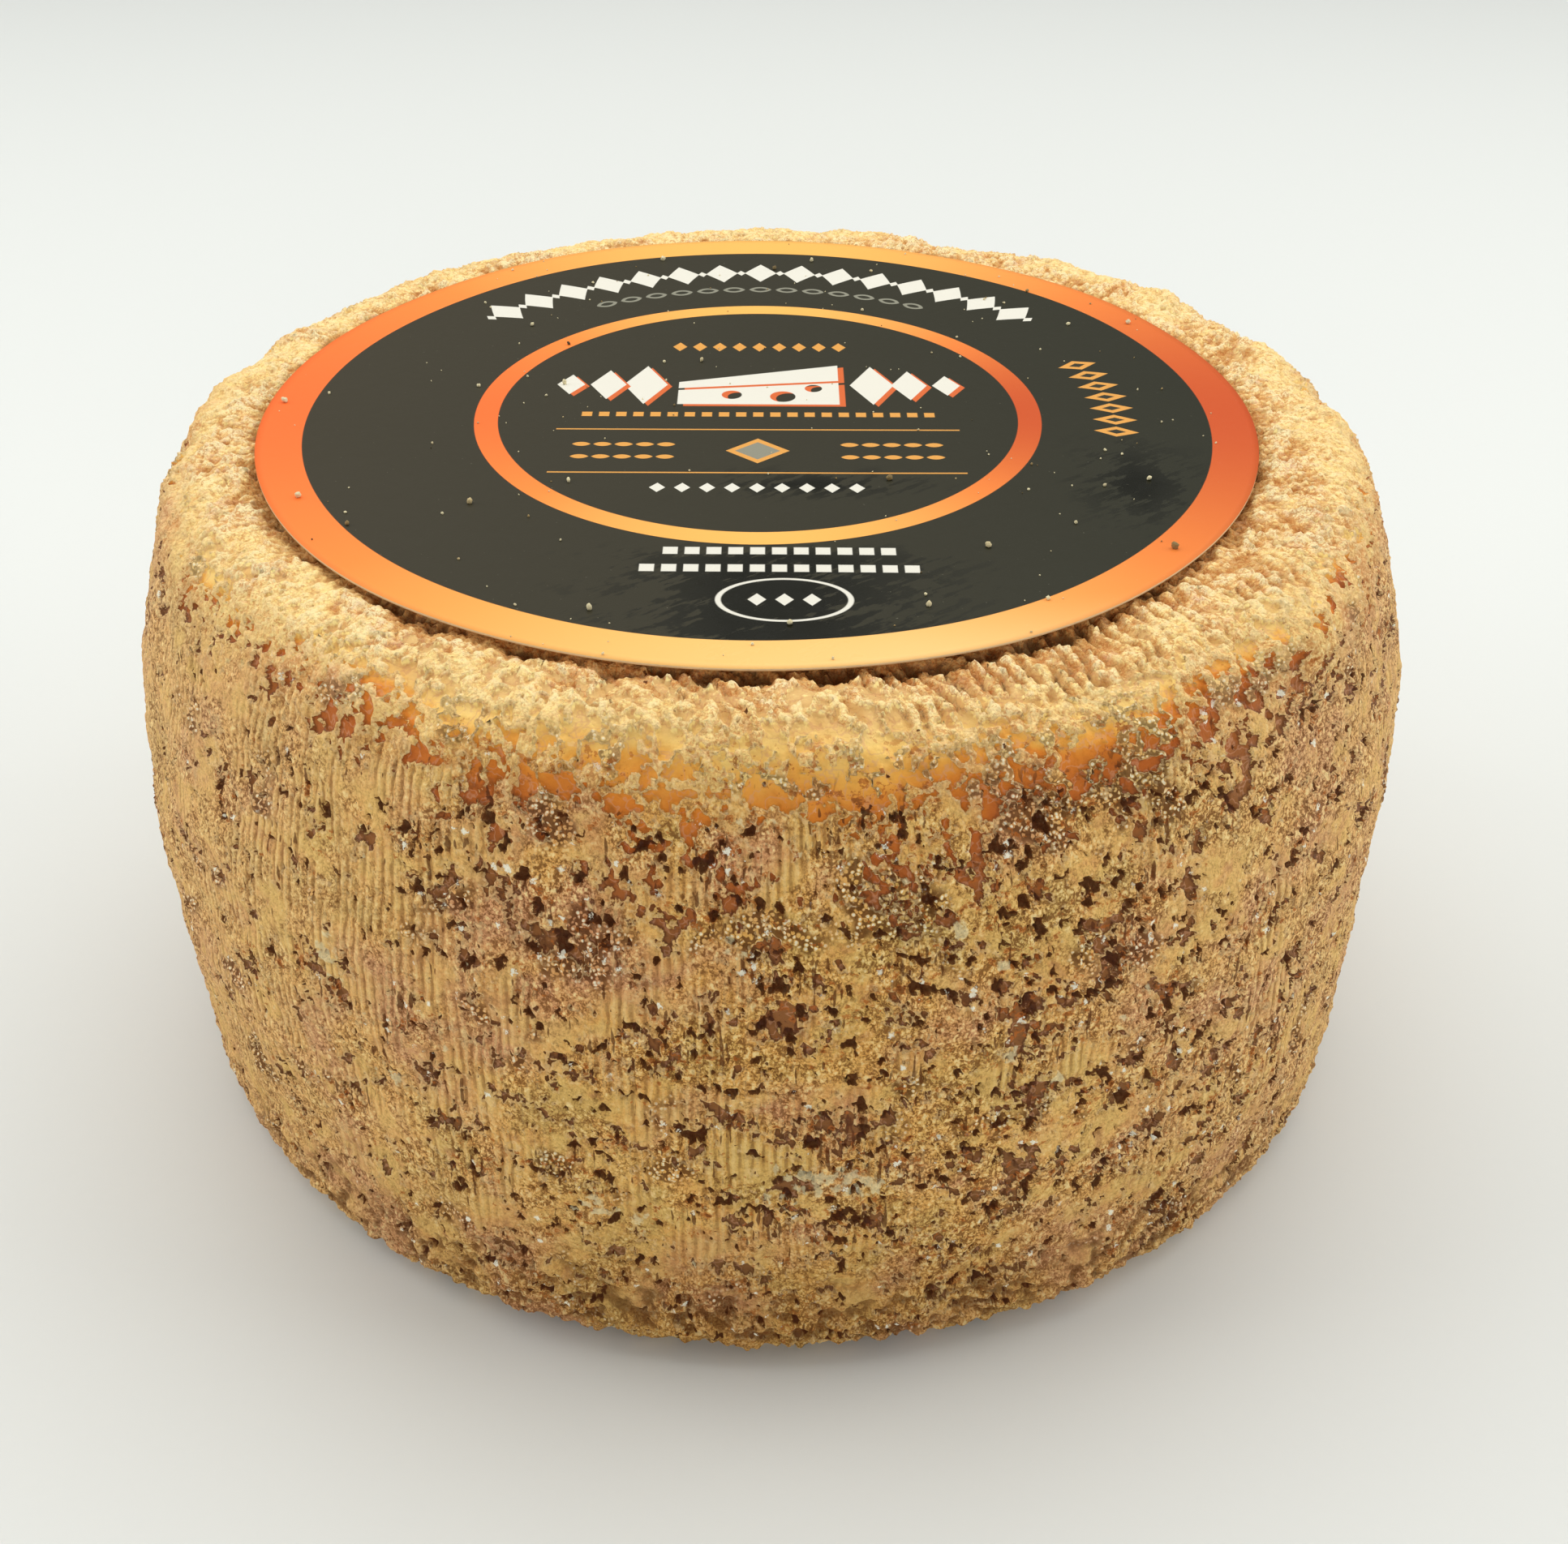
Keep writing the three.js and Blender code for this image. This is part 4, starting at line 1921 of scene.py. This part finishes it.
    def wreath(
        self, radius: float, turn: float, pitch: float, count: int
    ) -> tuple[Wire, Wire, Wire]:
        """Coordinates that repeat along an arc.

        Args:
            radius: Radius of the arc.
            turn: Degrees from the back to the arc's middle, clockwise.
            pitch: Step along the arc.
            count: Number of steps.

        Returns:
            Place within a step, place across the arc, and whether the arc is there.
        """
        along_arc = (self.bearing - math.radians(turn)) * radius
        within, there = self.row(along_arc, pitch, count)
        return within, self.distance - radius, there

    def build(self) -> bpy.types.Material:
        """Makes the printed face's material.

        Returns:
            The material.
        """
        bench = self.bench
        gold = self._gold()
        # The dark field is lighter to the left: painted reflection haze on the print.
        dark = bench.blend((self.across / 130 + 0.5).clamp(), self.dark_left_sheen, self.dark_right)
        smear = self._smears()
        dark = bench.blend(smear * 0.95, dark, self.smudge_dark)
        colour = bench.blend(self.inside(self.distance - self.field_radius), gold, dark)
        colour = bench.blend(self.band(self.ring_inner, self.ring_outer), colour, gold)
        for mask, ink in self._ornaments():
            colour = bench.blend(mask, colour, ink.value)
        dust = bench.clouds(0.5, 9.0, 3.0)
        flecks = (dust - 0.42).ease(0.0, 0.1) * 0.18
        colour = bench.blend(flecks, colour, self.dust_pale)
        rough = 0.46 - 0.2 * smear + 0.06 * bench.clouds(3.0, 4.0)
        grain = bench.clouds(0.35, 6.0, 2.0) * 0.4 + bench.clouds(14.0, 8.0, 1.0) * 4
        return bench.finish(
            {
                "Base Color": colour,
                "Roughness": rough,
                "Specular IOR Level": self.shine,
                "Normal": bench.bump(grain, self.grain_depth),
            }
        )

    def _gold(self) -> Wire:
        """Makes the metallic-looking ink: gold to the front and back, orange to the sides, with a
        painted highlight near the front.

        Returns:
            The ink's colour.
        """
        bench = self.bench
        squares = self.distance * self.distance + 0.01
        facing = self.along * self.along / squares
        left, right = (
            bench.ramp(facing, [(0.0, side), (0.45, between), (1.0, self.gold)])
            for side, between in (self.orange_left, self.orange_right)
        )
        colour = bench.blend((self.across / 40 + 0.5).clamp(), left, right)
        # Painted highlight on the gold ink near the front.
        near = (self.along / -72).ease(0.72, 1.0) * (self.across / 60 + 0.7).clamp()
        return bench.blend(near * 0.6, colour, self.gold_gleam)

    def _smears(self) -> Wire:
        """Places oily smears where rind crumbs were wiped over the print.

        Returns:
            How oily the print is, 0 to 1.
        """
        bench = self.bench
        slant = self.across * 0.8 + self.along * 0.6
        cross = self.along * 0.8 - self.across * 0.6
        inputs = {"X": slant / 6.0, "Y": cross / 1.1, "Z": 3.0}
        streaks = bench.node("ShaderNodeCombineXYZ", {}, inputs)
        inputs = {"Vector": streaks, "Scale": 1.0, "Detail": 4.0, "Roughness": 0.65}
        brush = bench.node("ShaderNodeTexNoise", {"noise_dimensions": "3D"}, inputs) * 2.0 - 1.0
        grain = bench.clouds(5.0, 43.0, 3.0)
        front = (1 - abs(self.across - 3) / 34).clamp() * (self.along / -1 - 38).ease(0.0, 8.0)
        middle = (1 - abs(self.across - 8) / 24).clamp() * (1 - abs(self.along + 24) / 7).clamp()
        right = (1 - abs(self.across - 52) / 13).clamp() * (1 - abs(self.along + 24) / 20).clamp()
        zone = bench.largest(front, middle, right) * 1.2
        return (brush * 1.3 + grain * 1.2 + zone * 0.9 - 0.42).ease(0.0, 0.2) * zone.clamp()

    def _stamp(self, stamp: Stamp, x: Operand, y: Operand) -> Wire:
        """Draws one shape.

        Args:
            stamp: The shape.
            x: Distance to the right of its middle.
            y: Distance behind its middle.

        Returns:
            1 inside the shape.
        """
        figures = {
            Figure.BAR: self.box,
            Figure.LOZENGE: self.lozenge,
            Figure.LEAF: self.leaf,
        }
        return figures[stamp.figure](x, y, stamp.wide, stamp.tall)

    def _ornaments(self) -> list[tuple[Wire, Ink]]:
        """Makes the plain printed ornaments.

        Returns:
            Where each ornament is printed, with its ink, lowest first.
        """
        made: list[tuple[Wire, Ink]] = []
        for each in self.garlands:
            x, y, there = self.wreath(each.radius, each.turn, each.pitch, each.count)
            made.append((self._stamp(each.stamp, x, y) * there, each.stamp.ink))
        for each in self.rows:
            x, there = self.row(self.across - each.across, each.pitch, each.count)
            y = self.along - each.along
            made.append((self._stamp(each.stamp, x, y) * there, each.stamp.ink))
        made.append((self._wedge(*self.wedge_shadow), Ink.ORANGE))
        made.append((self._wedge(0.0, 0.0), Ink.WHITE))
        made.extend(self._side_lozenges())
        made.append((self._oval(), Ink.WHITE))
        return made

    def _side_lozenges(self) -> list[tuple[Wire, Ink]]:
        """Makes three shadowed lozenges on each side of the wedge, smaller outwards.

        Returns:
            Where each is printed, with its ink.
        """
        made: list[tuple[Wire, Ink]] = []
        right, back = self.lozenge_shadow
        for side in (-1.0, 1.0):
            for step in range(3):
                x = self.across - side * (17.0 + 5.6 * step)
                y = self.along - self.wedge_along
                wide, tall = 6.6 - 1.2 * step, 14.0 - 3.4 * step
                made.append((self.lozenge(x - right, y - back, wide, tall), Ink.ORANGE))
                made.append((self.lozenge(x, y, wide, tall), Ink.WHITE))
        return made

    def _wedge(self, right: float, back: float) -> Wire:
        """Draws a cut wedge of cheese with three holes.

        Args:
            right: How far to the right it is moved.
            back: How far to the back it is moved.

        Returns:
            1 inside the wedge.
        """
        x = self.across - right
        y = self.along - self.wedge_along - back
        slope = self.inside(y - 1.0 - (x + 12.0) * 0.27)
        body = self.box(x, y - 0.5, 24.0, 15.0) * slope
        line = 1 - self.box(x, y - (x + 12.0) * 0.12 + 1.6, 30.0, 0.7)
        for at_x, at_y, size in self.wedge_holes:
            squares = (x - at_x) ** 2.0 + (y - at_y) ** 2.0
            body = body * (1 - self.inside(self.bench.math("SQRT", squares) - size))
        return body * line

    def _oval(self) -> Wire:
        """Draws the line of an oval near the front.

        Returns:
            1 on the line.
        """
        x, y = self.across - self.oval_middle[0], self.along - self.oval_middle[1]
        squares = x * x / self.oval_half_wide**2 + y * y / self.oval_half_tall**2
        outside = abs(self.bench.math("SQRT", squares) - 1) * self.oval_half_tall
        return self.inside(outside - self.oval_line)


# ---- Loose crumbs on the label ----


@dataclass
class LabelCrumbs:
    """Tiny bits of dry rind that fell on the label."""

    label: PaperLabel
    count: int = 190
    smallest: float = 0.12
    largest: float = 0.62
    sunk: float = 0.2
    within: tuple[float, float] = (0.01, 0.985)
    stretch: tuple[float, float] = (0.55, 1.0)
    knobs: tuple[float, float] = (0.75, 1.2)
    widest_turn: float = 6.28
    seed: int = 17

    def build(self) -> bpy.types.Object:
        """Makes all the crumbs as one piece.

        Returns:
            The piece.
        """
        dice = np.random.default_rng(self.seed)
        ball_points, ball_faces = self._ball()
        points, faces, kinds = [], [], []
        for number in range(self.count):
            points.append(self._crumb(dice, ball_points))
            faces.append(ball_faces + number * len(ball_points))
            kinds.append(np.full(len(ball_points), dice.random()))
        piece = make_piece("label_crumbs", np.concatenate(points), [np.concatenate(faces)])
        carry(piece, {"kind": np.concatenate(kinds)})
        piece.data.materials.append(CrumbFinish().build())
        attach(piece, "root")
        return piece

    def _crumb(self, dice: np.random.Generator, ball_points: np.ndarray) -> np.ndarray:
        """Makes one crumb.

        Args:
            dice: Source of chance.
            ball_points: Points of a ball of radius 1.

        Returns:
            The crumb's points, somewhere on the label and set slightly into it.
        """
        distance = self.label.radius * math.sqrt(dice.uniform(*self.within))
        angle = dice.uniform(0, 2 * math.pi)
        across, along = distance * math.cos(angle), distance * math.sin(angle)
        size = self.smallest + (self.largest - self.smallest) * dice.random() ** 4
        stretched = ball_points * dice.uniform(*self.stretch, 3)
        knobbly = stretched * dice.uniform(*self.knobs, (len(ball_points), 1))
        turn = np.array(Euler(dice.uniform(0, self.widest_turn, 3)).to_matrix())
        shape = knobbly @ turn.T * size
        lift = float(self.label.lift(np.array([across]), np.array([along]))[0])
        floor = self.label.underside + self.label.thickness + lift
        rise = floor - shape[:, 2].min() * (1 - self.sunk)
        return shape + (across + self.label.centre[0], along + self.label.centre[1], rise)

    @staticmethod
    def _ball() -> tuple[np.ndarray, np.ndarray]:
        """Makes a small faceted ball.

        Returns:
            Points and faces of a ball of radius 1.
        """
        shell = bmesh.new()
        bmesh.ops.create_icosphere(shell, subdivisions=2, radius=1.0)
        points = np.array([vertex.co[:] for vertex in shell.verts])
        faces = np.array([[vertex.index for vertex in face.verts] for face in shell.faces])
        shell.free()
        return points, faces


@dataclass(frozen=True)
class CrumbFinish:
    """Dry crumbs, most of them pale, a few dark."""

    pale: Colour = tone(226, 214, 170)
    tan: Colour = tone(176, 148, 92)
    dark: Colour = tone(60, 52, 30)

    def build(self) -> bpy.types.Material:
        """Makes the crumbs' material.

        Returns:
            The material.
        """
        bench = Bench("dry_crumbs")
        kind = bench.reading("kind")
        stops = [(0.0, self.pale), (0.55, self.pale), (0.8, self.tan), (1.0, self.dark)]
        grit = bench.clouds(0.15, 5.0, 2.0)
        colour = bench.blend((grit * 0.8).clamp() * 0.5, bench.ramp(kind, stops), self.dark)
        return bench.finish(
            {"Base Color": colour, "Roughness": 0.85, "Normal": bench.bump(grit, 0.05)}
        )


# ---- Studio ----


@dataclass(frozen=True)
class Panel:
    """A soft rectangular light.

    Attributes:
        name: What it is called.
        place: Where it stands, in metres.
        size: Its width and height, in metres.
        watts: Its power.
    """

    name: str
    place: tuple[float, float, float]
    size: tuple[float, float]
    watts: float


@dataclass
class Studio:
    """Pale floor, soft light and the camera."""

    floor_size: float = 6.0
    floor_pale: Colour = tone(224, 226, 220)
    floor_shade: Colour = tone(218, 220, 213)
    panels: tuple[Panel, ...] = (
        Panel("overhead", (0.0, 0.36, 1.0), (1.7, 1.2), 12.4),
        Panel("front_low", (0.0, -1.5, 0.55), (1.2, 0.6), 7.5),
        Panel("left_wall", (-1.2, 0.1, 0.6), (1.0, 1.0), 7.2),
        Panel("right_wall", (1.2, 0.1, 0.6), (1.0, 1.0), 7.6),
    )
    aim_height: float = 0.05
    room_colour: Colour = (0.93, 0.95, 1.0, 1.0)
    room_light: float = 0.2
    camera_back: float = 261.8
    camera_up: float = 216.3
    look_down: float = 34.83
    look_right: float = 0.47
    camera_roll: float = 0.42
    lens: float = 44.18
    sensor: float = 36.0
    sight: tuple[float, float] = (0.01, 20.0)

    def build(self) -> None:
        """Sets up the floor, the lights, the camera and the plain view colours."""
        self._floor()
        self._lights()
        self._camera()
        scene = bpy.context.scene
        scene.view_settings.view_transform = "Standard"
        scene.view_settings.look = "None"

    def _floor(self) -> None:
        """A wide pale floor."""
        half = self.floor_size / 2 / MM
        corners = np.array([[-half, -half, 0], [half, -half, 0], [half, half, 0], [-half, half, 0]])
        floor = make_piece("floor", corners, [np.array([[0, 1, 2, 3]])], smooth=False)
        bench = Bench("pale_floor")
        grain = bench.clouds(1.5, 3.0, 3.0)
        mottled = (grain * 0.5 + 0.5).clamp() * 0.2
        colour = bench.blend(mottled, self.floor_pale, self.floor_shade)
        floor.data.materials.append(bench.finish({"Base Color": colour, "Roughness": 0.55}))

    def _lights(self) -> None:
        """A wide soft light above, a low one in front, one at each side, and pale surroundings."""
        world = bpy.data.worlds.new("pale_room")
        world.use_nodes = True
        room = world.node_tree.nodes["Background"]
        room.inputs["Color"].default_value = self.room_colour
        room.inputs["Strength"].default_value = self.room_light
        bpy.context.scene.world = world
        for panel in self.panels:
            self._hang(panel)

    def _hang(self, panel: Panel) -> None:
        """Makes one light that faces the wheel.

        Args:
            panel: The light.
        """
        lamp = bpy.data.lights.new(panel.name, "AREA")
        lamp.shape = "RECTANGLE"
        lamp.size, lamp.size_y = panel.size
        lamp.energy = panel.watts
        made = bpy.data.objects.new(panel.name, lamp)
        made.location = panel.place
        facing = Vector((0.0, 0.0, self.aim_height)) - Vector(panel.place)
        made.rotation_euler = facing.to_track_quat("-Z", "Y").to_euler()
        bpy.context.scene.collection.objects.link(made)

    def _camera(self) -> None:
        """The camera, looking down at the wheel from in front."""
        lens = bpy.data.cameras.new("camera")
        lens.lens = self.lens
        lens.sensor_width = self.sensor
        lens.clip_start, lens.clip_end = self.sight
        made = bpy.data.objects.new("camera", lens)
        down, right = math.radians(self.look_down), math.radians(self.look_right)
        turn = Matrix.Rotation(-right, 4, "Z") @ Matrix.Rotation(math.pi / 2 - down, 4, "X")
        turn = turn @ Matrix.Rotation(math.radians(self.camera_roll), 4, "Z")
        place = Vector((0.0, -self.camera_back * MM, self.camera_up * MM))
        made.matrix_world = Matrix.Translation(place) @ turn
        bpy.context.scene.collection.objects.link(made)
        bpy.context.scene.camera = made


def main() -> None:
    """Builds every piece in order and reports each."""
    logging.basicConfig(level=logging.INFO, format="%(name)s: %(message)s")
    Studio().build()
    label = PaperLabel.from_frame("label")
    shape = WheelShape.from_frame("cheese_wheel")
    rind = Rind(shape, label.radius, label.centre, label.underside)
    builders: list[tuple[str, Callable[[], bpy.types.Object]]] = [
        ("rind", rind.build),
        ("label", label.build),
        ("crumbs", LabelCrumbs(label).build),
    ]
    for what, build in builders:
        piece = build()
        LOG.info("%s: %s, %d points", what, piece.name, len(piece.data.vertices))


if __name__ == "__main__":
    main()
